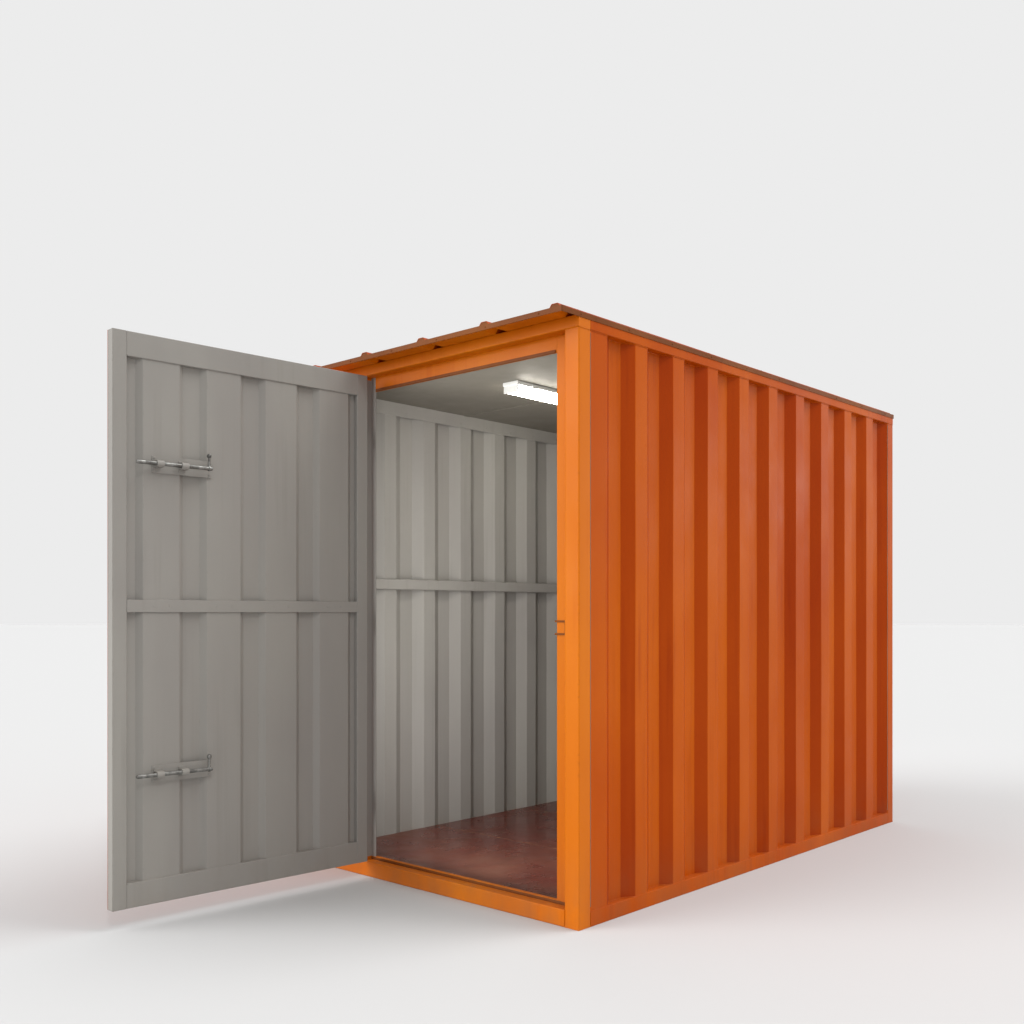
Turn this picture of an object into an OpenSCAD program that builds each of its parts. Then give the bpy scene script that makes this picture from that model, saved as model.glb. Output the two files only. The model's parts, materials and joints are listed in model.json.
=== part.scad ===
// Portable site cabin: a welded steel frame with fluted sheet walls, a ribbed
// roof with a short front canopy, a boarded floor and one outward-opening door.
//
// Frame: origin on the ground at the centre of the floor plan, +Z up.
// The door is in the front, which faces -Y, and +X is to the right of it.

/* [Cabin] */
// Length over the frame, front to rear
cabin_l = 3000; // [2400:50:4200]
// Width over the frame
cabin_w = 1700; // [1660:20:2400]
// Height from the ground to the roof sheet
cabin_h = 2440; // [2300:10:2800]

/* [Frame] */
// Width and depth of each corner post
post_w = 75; // [60:5:100]
// Wall of the frame tubes
tube_t = 3; // [2:0.5:6]
// Height of the base rails under the side and rear walls
base_h = 60; // [50:5:100]
// Height of the front sill in front of the door
sill_h = 70; // [60:5:100]
// Height of the top rails and headers
top_rail_h = 50; // [40:5:80]
// Drop of the flange that closes each top rail down over its wall, inside
rail_drop = 80; // [50:5:120]
// Thickness of folded plate: flanges, stops and trim
plate_t = 4; // [3:1:6]

/* [Walls] */
// Thickness of the wall, roof and door sheets
sheet_t = 2; // [1:0.5:3]
// Distance between neighbouring flutes
flute_pitch = 282; // [240:1:320]
// Depth of a flute
flute_depth = 36; // [20:1:45]
// Width of the flat at the bottom of a flute
flute_flat = 80; // [50:1:120]
// Width of each slope of a flute
flute_slope = 58; // [30:1:70]
// Plain width between the front post and the first flute's slope
front_plain = 112; // [20:1:140]
// Setback of the wall sheets behind the frame's outer faces
sheet_inset = 4; // [0:1:10]
// Height of the stiffener's centre line above the ground
stiffener_z = 1410; // [1000:10:1800]
// Height of the stiffener's face
stiffener_h = 55; // [30:5:100]
// Depth of the stiffener, out from the sheet
stiffener_d = 15; // [10:1:20]

/* [Floor and ceiling] */
// Thickness of the floor boards
floor_t = 20; // [12:1:30]
// Width of each floor joist
joist_w = 60; // [40:5:100]
// Thickness of the ceiling panel
ceiling_t = 10; // [4:1:20]

/* [Roof] */
// Reach of the roof sheet beyond the front of the frame
canopy = 106; // [40:2:200]
// Distance between neighbouring roof ribs
rib_pitch = 385; // [250:1:500]
// Distance from the right edge of the roof to the first rib's centre
rib_edge = 36; // [34:1:200]
// Height of a roof rib
rib_h = 22; // [10:1:40]
// Width of the flat on top of a rib
rib_flat = 30; // [15:1:60]
// Width of each slope of a rib
rib_slope = 18; // [8:1:30]
// Height of the edge trim
trim_h = 22; // [16:1:40]
// Height that the trim's top stands above the roof sheet
trim_up = 10; // [4:1:14]
// Thickness of the edge trim
trim_t = 3; // [2:1:5]

/* [Doorway] */
// Width of the doorway between the right post and the left jamb
doorway_w = 1256; // [900:2:1300]
// Width of the left door jamb
jamb_w = 50; // [40:5:80]
// Face width of the stop on the right post
stop_right_w = 85; // [50:1:100]
// Face width of the stop on the left jamb
stop_left_w = 30; // [20:1:60]
// Face height of the stop under the header
stop_head_h = 70; // [40:1:100]
// Height of the sill's back edge above the floor
sill_edge = 4; // [0:1:10]

/* [Door] */
// Thickness of the door leaf
leaf_t = 45; // [40:1:60]
// Gap between the leaf and the frame around it
leaf_gap = 10; // [8:1:15]
// Gap between the leaf's inner face and the stops
stop_gap = 10; // [8:1:15]
// Width of the stiles
stile_w = 60; // [40:5:90]
// Height of the leaf's top and bottom rails
leaf_rail_h = 100; // [60:5:140]
// How far the door stands open, in degrees
open_angle = 93.5; // [60:0.5:120]
// Height of the middle bar's centre line above the ground
mid_bar_z = 1285; // [1000:1:1500]
// Height of the middle bar's face
mid_bar_h = 50; // [30:5:90]
// Thickness of the middle bar and of the doorway stops
bar_t = 5; // [3:1:8]
// Distance between neighbouring door flutes
door_pitch = 280; // [220:1:320]
// Distance from the free edge to the first door flute's centre
door_first = 207; // [180:1:260]
// Depth of a door flute
door_depth = 20; // [15:1:34]
// Width of the flat at the bottom of a door flute
door_flat = 156; // [80:1:170]
// Width of each slope of a door flute
door_slope = 24; // [15:1:50]

/* [Hinges] */
// Radius of the hinge barrels
barrel_r = 9; // [7:0.5:14]
// Radius of the hinge pins
pin_r = 5; // [4:0.5:8]
// Length of each hinge barrel half
barrel_l = 45; // [30:5:80]
// Distance of the hinge axis in front of the frame
hinge_out = 13; // [11:1:20]
// Gap between the jamb and the leaf's hinge edge
hinge_gap = 12; // [10:1:16]
// Reach of a hinge flap from the axis
flap_w = 40; // [30:1:55]
// Distance of the outer hinges from the leaf's ends
hinge_end = 280; // [150:10:500]

/* [Slide bolts] */
// Height of the upper bolt's rod
bolt_upper_z = 1860; // [1500:5:2100]
// Height of the lower bolt's rod
bolt_lower_z = 605; // [300:5:900]
// Radius of a bolt rod
rod_r = 8; // [6:0.5:12]
// Length of a bolt rod
rod_l = 330; // [330:5:400]
// Travel of a bolt rod
rod_travel = 75; // [40:1:78]
// Distance of a retracted rod's end from the right stop
rod_clear = 10; // [8:1:40]
// Distance of the rod's axis from the leaf's inner face
rod_out = 28; // [26:1:40]
// Length of a bolt's base plate
bolt_plate_l = 265; // [200:5:300]
// Height of a bolt's base plate
bolt_plate_h = 70; // [40:5:100]
// Distance from the leaf's free edge to a bolt's base plate
bolt_inset = 165; // [100:5:200]
// Length of a bolt's upright handle
bolt_handle_l = 52; // [40:1:80]

/* [Lock] */
// Height of the handle and the keeper
lock_z = 1197; // [1000:1:1230]
// Length of the handle's grip between its feet
grip_l = 150; // [120:5:200]
// Distance of the grip's centre line in front of the leaf
grip_reach = 42; // [32:1:60]
// Radius of the grip
grip_r = 7; // [5:0.5:12]
// Width of the handle's back plate
grip_plate_w = 40; // [30:1:55]
// Height of the keeper
keeper_h = 60; // [40:5:90]
// Width of the keeper
keeper_w = 60; // [40:5:75]
// Width of the keeper's rim
keeper_rim = 8; // [4:1:12]
// Reach of the keeper past the stop's edge, into the doorway
keeper_reach = 8; // [0:1:12]

/* [Lamp] */
// Length of the lamp
lamp_l = 1200; // [600:50:1500]
// Width of the lamp
lamp_w = 100; // [60:5:160]
// Height of the lamp's body
lamp_body_h = 20; // [15:1:40]
// Height of the lamp's lens
lamp_lens_h = 35; // [20:1:60]
// Distance of the lamp from the front of the frame
lamp_front = 520; // [300:10:900]

/* [Hidden] */

$fn = 48;
eps = 0.01;
// Running gap around hinge pins and bolt rods
shaft_gap = 0.08;
// Least plain strip between a sheet's end and its first flute or rib
sheet_margin = 8;
rib_margin = 20;
// Wall around a bolt rod in its guides, and the guides' setback from the plate's end
guide_wall = 6;
guide_end = 5;
// Gap between a hinge's lower and upper halves
hinge_play = 1;

orange = [0.76, 0.33, 0.06];
orange_light = [0.90, 0.50, 0.12];
inner_grey = [0.56, 0.54, 0.51];
brown = [0.36, 0.20, 0.08];
floor_red = [0.36, 0.20, 0.15];
steel = [0.45, 0.45, 0.46];
white = [0.94, 0.94, 0.92];

// Frame planes
half_w = cabin_w / 2;
half_l = cabin_l / 2;
rail_z = cabin_h - top_rail_h;
sheet_z = base_h;
sheet_h = rail_z - base_h;
side_sheet_l = cabin_l - 2 * post_w;
rear_sheet_l = cabin_w - 2 * post_w;
flute_w = flute_flat + 2 * flute_slope;
// Depth of a sheet's inner face behind the frame's outer face
sheet_in = sheet_inset + flute_depth + sheet_t;
floor_z = base_h + floor_t;

// Doorway, with the door closed
doorway_r = half_w - post_w;
doorway_l = doorway_r - doorway_w;
panel_l = -half_w + post_w;
panel_w = doorway_l - jamb_w - panel_l;
stop_y = -half_l + leaf_t + stop_gap;
// Depth of the stops' legs and of the sill's raised edge, back to the frame's inner plane
stop_back = post_w - leaf_t - stop_gap;
hinge_x = doorway_l + hinge_gap / 2;
hinge_y = -half_l - hinge_out;
leaf_l = doorway_l + hinge_gap;
leaf_r = doorway_r - leaf_gap;
leaf_z0 = sill_h + leaf_gap;
leaf_z1 = rail_z - leaf_gap;
skin_l = leaf_l + stile_w;
skin_w = leaf_r - stile_w - skin_l;
skin_z0 = leaf_z0 + leaf_rail_h;
skin_z1 = leaf_z1 - leaf_rail_h;
door_flutes = floor((leaf_r - door_first - skin_l - door_flat / 2 - door_slope) / door_pitch) + 1;
skin_y = -half_l + leaf_t - bar_t - door_depth - sheet_t;

// Slide bolts, with the door closed
rod_tip = doorway_r - stop_right_w - rod_clear;
rod_y = -half_l + leaf_t + rod_out;
bolt_plate_r = leaf_r - bolt_inset;
guide_l = 30;
guide_h = 44;

module frame_tube(x, y, z) {
    // A square tube along its longest side, in the first octant
    along_x = x > y && x > z;
    along_y = y > x && y > z;
    difference() {
        cube([x, y, z]);
        translate([along_x ? -1 : tube_t, along_y ? -1 : tube_t, along_x || along_y ? tube_t : -1])
            cube([
                along_x ? x + 2 : x - 2 * tube_t,
                along_y ? y + 2 : y - 2 * tube_t,
                along_x || along_y ? z - 2 * tube_t : z + 2,
            ]);
    }
}

// Centre line of a fluted sheet from 0 to length, with flutes depth deep
function flute_line(length, first, count, pitch, flat, slope, depth) = concat(
    [[0, 0]],
    [for (i = [0:count - 1]) let (c = first + i * pitch) each [
        [c - flat / 2 - slope, 0],
        [c - flat / 2, depth],
        [c + flat / 2, depth],
        [c + flat / 2 + slope, 0],
    ]],
    [[length, 0]]
);

function reversed(points) = [for (i = [len(points) - 1:-1:0]) points[i]];

// A fluted sheet's cross-section: its outer line and the same line one thickness in
module flute_section(line) {
    polygon(concat(line, reversed([for (p = line) p + [0, sheet_t]])));
}

// How many wall flutes fit in a sheet behind a plain stretch
function flute_count(length, plain) = floor((length - plain - flute_w - sheet_margin) / flute_pitch) + 1;

module wall_sheet(length, plain) {
    linear_extrude(sheet_h)
        flute_section(flute_line(length, plain + flute_w / 2, flute_count(length, plain),
            flute_pitch, flute_flat, flute_slope, flute_depth));
}

// Even plain margin at both ends of a sheet
function even_plain(length) =
    let (n = floor((length - 2 * sheet_margin - flute_w) / flute_pitch))
    (length - flute_w - n * flute_pitch) / 2;

module mirror_x() {
    mirror([1, 0, 0]) children();
}

module place_door() {
    translate([hinge_x, hinge_y, 0]) rotate([0, 0, -open_angle])
        translate([-hinge_x, -hinge_y, 0]) children();
}

// ---- Base and floor ----

module base_rail() {
    // Folded channel, open towards the inside
    translate([half_w - post_w, -half_l + post_w, 0]) rotate([-90, 0, 0]) mirror([0, 1, 0])
        linear_extrude(side_sheet_l) difference() {
            square([post_w, base_h]);
            translate([-1, plate_t]) square([post_w - plate_t + 1, base_h - 2 * plate_t]);
        }
}

module base_rail_right() {
    color(orange) base_rail();
}

module base_rail_left() {
    color(orange) mirror_x() base_rail();
}

module front_sill() {
    // Tube between the front posts, with a raised edge behind the closed door
    color(orange) difference() {
        union() {
            translate([-half_w + post_w, -half_l, 0])
                cube([cabin_w - 2 * post_w, post_w, sill_h]);
            translate([doorway_l, stop_y, sill_h - eps])
                cube([doorway_w, stop_back, floor_z + sill_edge - sill_h + eps]);
        }
        translate([-half_w, -half_l + tube_t, tube_t])
            cube([cabin_w, post_w - 2 * tube_t, sill_h - 2 * tube_t]);
    }
}

module rear_sill() {
    color(orange) translate([-half_w + post_w, half_l - post_w, 0])
        frame_tube(cabin_w - 2 * post_w, post_w, base_h);
}

module floor_joists() {
    span = cabin_w - 2 * post_w;
    color(steel) for (y = [-half_l / 2, 0, half_l / 2])
        translate([-span / 2, y - joist_w / 2, 0])
            frame_tube(span, joist_w, base_h);
}

module floor_boards() {
    board_w = cabin_w - 2 * sheet_in;
    color(floor_red) translate([-board_w / 2, -half_l + post_w, base_h])
        cube([board_w, side_sheet_l, floor_t]);
}

// ---- Frame ----

module corner_post() {
    translate([half_w - post_w, -half_l, 0]) frame_tube(post_w, post_w, rail_z);
}

module front_right_post() {
    color(orange_light) corner_post();
}

module front_left_post() {
    color(orange_light) mirror_x() corner_post();
}

module rear_right_post() {
    color(orange) mirror([0, 1, 0]) corner_post();
}

module rear_left_post() {
    color(orange) mirror([0, 1, 0]) mirror_x() corner_post();
}

module top_rail() {
    // Tube on top of the wall, with a flange down over the wall inside
    translate([half_w - post_w, -half_l + post_w, rail_z])
        frame_tube(post_w, side_sheet_l, top_rail_h);
    translate([half_w - sheet_in - plate_t, -half_l + post_w, rail_z - rail_drop])
        cube([plate_t, side_sheet_l, rail_drop + eps]);
}

module top_rail_right() {
    color(orange) top_rail();
}

module top_rail_left() {
    color(orange) mirror_x() top_rail();
}

module header() {
    translate([-half_w, -half_l, rail_z]) frame_tube(cabin_w, post_w, top_rail_h);
}

module front_header() {
    color(orange_light) header();
}

module rear_header() {
    color(orange) mirror([0, 1, 0]) header();
}

// ---- Walls ----

module right_wall() {
    color(orange) translate([half_w - sheet_inset, -side_sheet_l / 2, sheet_z])
        rotate([0, 0, 90]) wall_sheet(side_sheet_l, front_plain);
}

module left_wall() {
    // The same sheet turned end for end
    color(orange) rotate([0, 0, 180])
        translate([half_w - sheet_inset, -side_sheet_l / 2, sheet_z])
            rotate([0, 0, 90]) wall_sheet(side_sheet_l, front_plain);
}

module rear_wall() {
    color(orange) translate([rear_sheet_l / 2, half_l - sheet_inset, sheet_z])
        rotate([0, 0, 180]) wall_sheet(rear_sheet_l, even_plain(rear_sheet_l));
}

module front_panel() {
    // Fixed sheet between the left post and the door jamb, one flute wide
    line = flute_line(panel_w, panel_w / 2, 1, flute_pitch, flute_flat, flute_slope, flute_depth);
    color(orange) translate([panel_l, -half_l + sheet_inset, sill_h])
        linear_extrude(rail_z - sill_h) flute_section(line);
}

module stiffener(length) {
    // Shallow channel with its open side on the sheet
    linear_extrude(length) difference() {
        square([stiffener_d, stiffener_h]);
        translate([tube_t, tube_t])
            square([stiffener_d, stiffener_h - 2 * tube_t]);
    }
}

module wall_stiffeners() {
    z0 = stiffener_z - stiffener_h / 2;
    side_x = half_w - sheet_in - stiffener_d;
    color(inner_grey) {
        for (side = [0, 1]) mirror([side, 0, 0])
            translate([side_x, half_l - post_w, z0])
                rotate([90, 0, 0]) stiffener(side_sheet_l);
        translate([-rear_sheet_l / 2, half_l - sheet_in - stiffener_d, z0])
            rotate([90, 0, 90]) stiffener(rear_sheet_l);
    }
}

// ---- Roof, ceiling and lamp ----

module roof_sheet() {
    roof_l = cabin_l + canopy;
    ribs = floor((cabin_w - rib_edge - rib_flat / 2 - rib_slope - rib_margin) / rib_pitch) + 1;
    first = cabin_w - rib_edge - (ribs - 1) * rib_pitch;
    color(orange) translate([-half_w, half_l, cabin_h]) rotate([90, 0, 0])
        linear_extrude(roof_l)
            flute_section(flute_line(cabin_w, first, ribs, rib_pitch, rib_flat, rib_slope, rib_h));
}

module roof_edge_trim() {
    trim_z = cabin_h + trim_up - trim_h;
    roof_l = cabin_l + canopy;
    color(brown) {
        for (y = [-half_l - canopy - trim_t, half_l])
            translate([-half_w, y, trim_z]) cube([cabin_w, trim_t, trim_h]);
        for (x = [-half_w - trim_t, half_w])
            translate([x, -half_l - canopy, trim_z]) cube([trim_t, roof_l, trim_h]);
    }
}

module ceiling_panel() {
    panel_in = sheet_in + plate_t;
    color(white) translate([-half_w + panel_in, -half_l + post_w, rail_z - ceiling_t])
        cube([cabin_w - 2 * panel_in, side_sheet_l, ceiling_t]);
}

module lamp_body() {
    color(steel) translate([-lamp_w / 2, -half_l + lamp_front, rail_z - ceiling_t - lamp_body_h])
        cube([lamp_w, lamp_l, lamp_body_h]);
}

module lamp_lens() {
    margin = 5;
    lens_w = lamp_w - 2 * margin;
    chamfer = 12;
    back_y = -half_l + lamp_front + lamp_l - margin;
    color(white) translate([0, back_y, rail_z - ceiling_t - lamp_body_h])
        rotate([90, 0, 0]) linear_extrude(lamp_l - 2 * margin)
            polygon([
                [-lens_w / 2, 0], [-lens_w / 2, chamfer - lamp_lens_h],
                [chamfer - lens_w / 2, -lamp_lens_h], [lens_w / 2 - chamfer, -lamp_lens_h],
                [lens_w / 2, chamfer - lamp_lens_h], [lens_w / 2, 0],
            ]);
}

// ---- Doorway ----

module door_jamb() {
    color(orange_light) translate([doorway_l - jamb_w, -half_l, sill_h])
        difference() {
            cube([jamb_w, post_w, rail_z - sill_h]);
            translate([tube_t, tube_t, -1])
                cube([jamb_w - 2 * tube_t, post_w - 2 * tube_t, rail_z - sill_h + 2]);
        }
}

module stop_angle(face_w, length) {
    // Face bar along +X with its leg at the origin, running back to the frame's inner plane
    linear_extrude(length) polygon([
        [0, 0], [face_w, 0], [face_w, bar_t],
        [bar_t, bar_t], [bar_t, stop_back], [0, stop_back],
    ]);
}

module door_stop_right() {
    z0 = floor_z + sill_edge;
    color(orange_light) translate([doorway_r, stop_y, z0])
        mirror_x() stop_angle(stop_right_w, rail_z - z0);
}

module door_stop_left() {
    z0 = floor_z + sill_edge;
    color(inner_grey) translate([doorway_l, stop_y, z0])
        stop_angle(stop_left_w, rail_z - z0);
}

module door_stop_head() {
    x0 = doorway_l + stop_left_w;
    x1 = doorway_r - stop_right_w;
    color(orange_light) translate([x0, stop_y, rail_z]) rotate([0, 90, 0])
        stop_angle(stop_head_h, x1 - x0);
}

module lock_keeper() {
    // U-shaped frame on the right stop, open towards the doorway
    x0 = doorway_r - stop_right_w - keeper_reach;
    color(brown) translate([x0, stop_y - plate_t, lock_z - keeper_h / 2]) difference() {
        cube([keeper_w, plate_t, keeper_h]);
        translate([-1, -1, keeper_rim])
            cube([keeper_w - keeper_rim + 1, plate_t + 2, keeper_h - 2 * keeper_rim]);
    }
}

function hinge_heights() = [
    leaf_z0 + hinge_end, (leaf_z0 + leaf_z1) / 2, leaf_z1 - hinge_end
];

module hinge_flap(side) {
    // Flat flap on the front plane, with a block that joins it to the barrel
    translate([side < 0 ? -flap_w : 0, hinge_out - plate_t, 0])
        cube([flap_w, plate_t, barrel_l]);
    translate([side < 0 ? -barrel_r : 0, 0, 0])
        cube([barrel_r, hinge_out, barrel_l]);
}

module hinge_pins() {
    // Lower halves, welded to the jamb, each with its pin
    color(steel) for (z = hinge_heights()) translate([hinge_x, hinge_y, z - barrel_l]) {
        cylinder(r = barrel_r, h = barrel_l);
        cylinder(r = pin_r, h = 2 * barrel_l);
        hinge_flap(-1);
    }
}

module hinge_barrels() {
    // Upper halves, welded to the leaf
    color(steel) place_door() for (z = hinge_heights()) translate([hinge_x, hinge_y, z + hinge_play])
        difference() {
            union() {
                cylinder(r = barrel_r, h = barrel_l);
                hinge_flap(1);
            }
            translate([0, 0, -1]) cylinder(r = pin_r + shaft_gap, h = barrel_l + 2);
        }
}

// ---- Door leaf, drawn closed and turned open by place_door ----

module stile(x) {
    translate([x, -half_l, leaf_z0]) frame_tube(stile_w, leaf_t, leaf_z1 - leaf_z0);
}

module door_free_stile() {
    color(inner_grey) place_door() stile(leaf_r - stile_w);
}

module door_hinge_stile() {
    color(inner_grey) place_door() stile(leaf_l);
}

module leaf_rail(z) {
    translate([skin_l, -half_l, z]) frame_tube(skin_w, leaf_t, leaf_rail_h);
}

module door_top_rail() {
    color(inner_grey) place_door() leaf_rail(skin_z1);
}

module door_bottom_rail() {
    color(inner_grey) place_door() leaf_rail(leaf_z0);
}

module door_skin() {
    last = leaf_r - door_first - skin_l;
    line = flute_line(skin_w, last - (door_flutes - 1) * door_pitch, door_flutes,
        door_pitch, door_flat, door_slope, door_depth);
    color(inner_grey) place_door() translate([skin_l, skin_y, skin_z0])
        linear_extrude(skin_z1 - skin_z0) flute_section(line);
}

module door_mid_bar() {
    color(inner_grey) place_door()
        translate([skin_l, -half_l + leaf_t - bar_t, mid_bar_z - mid_bar_h / 2])
            cube([skin_w, bar_t, mid_bar_h]);
}

module door_handle() {
    // Pull handle on the outside of the free stile, on a long plate
    plate_l = grip_l + 70;
    color(steel) place_door() translate([leaf_r - stile_w / 2, -half_l, lock_z]) {
        translate([-grip_plate_w / 2, -plate_t, -plate_l / 2])
            cube([grip_plate_w, plate_t, plate_l]);
        for (z = [-grip_l / 2, grip_l / 2])
            translate([0, 0, z]) rotate([90, 0, 0]) cylinder(r = grip_r, h = grip_reach);
        translate([0, -grip_reach, -grip_l / 2 - grip_r])
            cylinder(r = grip_r, h = grip_l + 2 * grip_r);
    }
}

module bolt_base(z) {
    // Base plate on the door's flutes, with two guides for the rod
    plate_y = -half_l + leaf_t - bar_t;
    guide_d = rod_y + rod_r + guide_wall - plate_y - plate_t;
    guides = [bolt_plate_l - guide_l - guide_end, (bolt_plate_l - guide_l) / 2 + guide_end];
    translate([bolt_plate_r - bolt_plate_l, plate_y, z]) difference() {
        union() {
            translate([0, 0, -bolt_plate_h / 2]) cube([bolt_plate_l, plate_t, bolt_plate_h]);
            for (x = guides)
                translate([x, plate_t - eps, -guide_h / 2]) cube([guide_l, guide_d + eps, guide_h]);
        }
        translate([-1, rod_y - plate_y, 0]) rotate([0, 90, 0])
            cylinder(r = rod_r + shaft_gap, h = bolt_plate_l + 2);
    }
}

module bolt_rod(z) {
    // Round rod with an upright handle and a knob at its rear end
    handle_r = 5;
    handle_in = 14;
    knob_r = 10;
    translate([rod_tip - rod_l, rod_y, z]) {
        rotate([0, 90, 0]) cylinder(r = rod_r, h = rod_l);
        translate([handle_in, 0, 0]) {
            cylinder(r = handle_r, h = bolt_handle_l);
            translate([0, 0, bolt_handle_l]) sphere(r = knob_r);
        }
    }
}

module upper_bolt_base() {
    color(inner_grey) place_door() bolt_base(bolt_upper_z);
}

module lower_bolt_base() {
    color(inner_grey) place_door() bolt_base(bolt_lower_z);
}

module upper_bolt_rod() {
    color(steel) place_door() bolt_rod(bolt_upper_z);
}

module lower_bolt_rod() {
    color(steel) place_door() bolt_rod(bolt_lower_z);
}

base_rail_right();
base_rail_left();
front_sill();
rear_sill();
floor_joists();
floor_boards();
front_right_post();
front_left_post();
rear_right_post();
rear_left_post();
top_rail_right();
top_rail_left();
front_header();
rear_header();
right_wall();
left_wall();
rear_wall();
front_panel();
wall_stiffeners();
roof_sheet();
roof_edge_trim();
ceiling_panel();
lamp_body();
lamp_lens();
door_jamb();
door_stop_right();
door_stop_left();
door_stop_head();
lock_keeper();
hinge_pins();
door_free_stile();
door_hinge_stile();
door_top_rail();
door_bottom_rail();
door_mid_bar();
door_skin();
hinge_barrels();
door_handle();
upper_bolt_base();
lower_bolt_base();
upper_bolt_rod();
lower_bolt_rod();
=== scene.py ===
"""Portable site cabin: fluted steel walls on a welded frame, a ribbed roof and an open door.

Everything is drawn in metres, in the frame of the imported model: the origin is on
the ground at the middle of the floor plan, the door is in the front, which faces
-Y, and +X is to the right of it. Door pieces are drawn with the door closed and
then swung open about the hinge axis, to where the door stands at rest.
"""

import json
import logging
import math
from dataclasses import dataclass
from enum import Enum
from typing import Callable, Optional, Sequence, Union

import bmesh
import bpy
from mathutils import Matrix, Vector, noise


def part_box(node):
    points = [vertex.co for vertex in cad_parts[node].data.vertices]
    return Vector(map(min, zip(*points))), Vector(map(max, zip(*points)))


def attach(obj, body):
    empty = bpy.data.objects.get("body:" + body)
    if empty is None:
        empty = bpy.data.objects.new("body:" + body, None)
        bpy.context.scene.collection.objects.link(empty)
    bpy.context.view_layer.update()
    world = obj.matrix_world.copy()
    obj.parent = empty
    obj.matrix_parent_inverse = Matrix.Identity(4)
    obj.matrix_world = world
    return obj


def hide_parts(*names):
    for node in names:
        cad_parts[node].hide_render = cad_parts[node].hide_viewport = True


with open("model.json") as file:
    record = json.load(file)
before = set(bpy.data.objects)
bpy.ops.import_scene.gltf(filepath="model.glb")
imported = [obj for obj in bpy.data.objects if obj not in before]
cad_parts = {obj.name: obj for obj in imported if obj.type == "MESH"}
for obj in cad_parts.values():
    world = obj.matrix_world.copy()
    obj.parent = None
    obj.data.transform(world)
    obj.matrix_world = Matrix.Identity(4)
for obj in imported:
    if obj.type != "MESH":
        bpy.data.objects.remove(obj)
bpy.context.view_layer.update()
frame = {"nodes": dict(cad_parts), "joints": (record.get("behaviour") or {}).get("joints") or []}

log = logging.getLogger("site_cabin")

Colour = tuple[float, float, float]
Line = list[tuple[float, float]]
Socket = bpy.types.NodeSocket

# Turned fixings, as points of (radius, distance out from the face that they sit on)
FLOOR_SCREW: Line = [(0.0055, -0.002), (0.0055, 0.0002), (0.0045, 0.0006), (0.0018, 0.0002), (0.0012, -0.001)]
FLANGE_RIVET: Line = [(0.006, 0), (0.0058, 0.0012), (0.0035, 0.0026), (0.001, 0.003)]
TRIM_RIVET: Line = [(0.0042, -0.0004), (0.0040, 0.0010), (0.0026, 0.0020), (0.0008, 0.0023)]
KEEPER_SCREW: Line = [(0.003, -0.0002), (0.0027, 0.0006), (0.001, 0.0003)]
HANDLE_SCREW: Line = [(0.006, 0), (0.0056, 0.0012), (0.003, 0.0024), (0.0012, 0.0016)]
GRIP_COLLAR: Line = [(0.012, 0), (0.012, 0.0015), (0.0085, 0.004), (0.007, 0.004)]
CHANNEL_SPOT: Line = [(0.0055, -0.0005), (0.005, 0.0008), (0.002, 0.0014)]
BAR_SPOT: Line = [(0.005, -0.0005), (0.0048, 0.0008), (0.002, 0.0013)]

# The rubber seals in the doorway: how far they stand out, and their gap at each end
SEAL_T = 0.005
SEAL_END = 0.004
SEAL_H = 0.014

# How steep a piece of a sheet's section is, as rise over length: in a bend, and on a flute's slope
BEND_FROM = 0.08
SLOPE_FROM = 0.4


def chip(red: int, green: int, blue: int) -> Colour:
    """Turn a colour card's three numbers, 0 to 255, into linear light.

    Args:
        red, green, blue: The card's numbers.

    Returns:
        The colour as linear red, green and blue.
    """
    def one(value: int) -> float:
        """Turn one of the numbers into linear light."""
        v = value / 255
        return v / 12.92 if v <= 0.04045 else ((v + 0.055) / 1.055) ** 2.4
    return one(red), one(green), one(blue)


class Body(Enum):
    """The bodies that pieces ride on."""

    CABIN = "cabin"
    DOOR = "door"
    UPPER_ROD = "upper_rod"
    LOWER_ROD = "lower_rod"


class Along(Enum):
    """The direction that a section is drawn out in."""

    X = 0
    Y = 1
    Z = 2

    def point(self, first: float, second: float, distance: float) -> Vector:
        """Place a section's point.

        Args:
            first: Its first coordinate, which is X, or Y where the section runs along X.
            second: Its second coordinate, which is Z, or Y where the section runs along Z.
            distance: Where it lies along the direction.

        Returns:
            The point in space.
        """
        if self is Along.X:
            return Vector((distance, first, second))
        if self is Along.Y:
            return Vector((first, distance, second))
        return Vector((first, second, distance))


# ---------------------------------------------------------------- finishes


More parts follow.
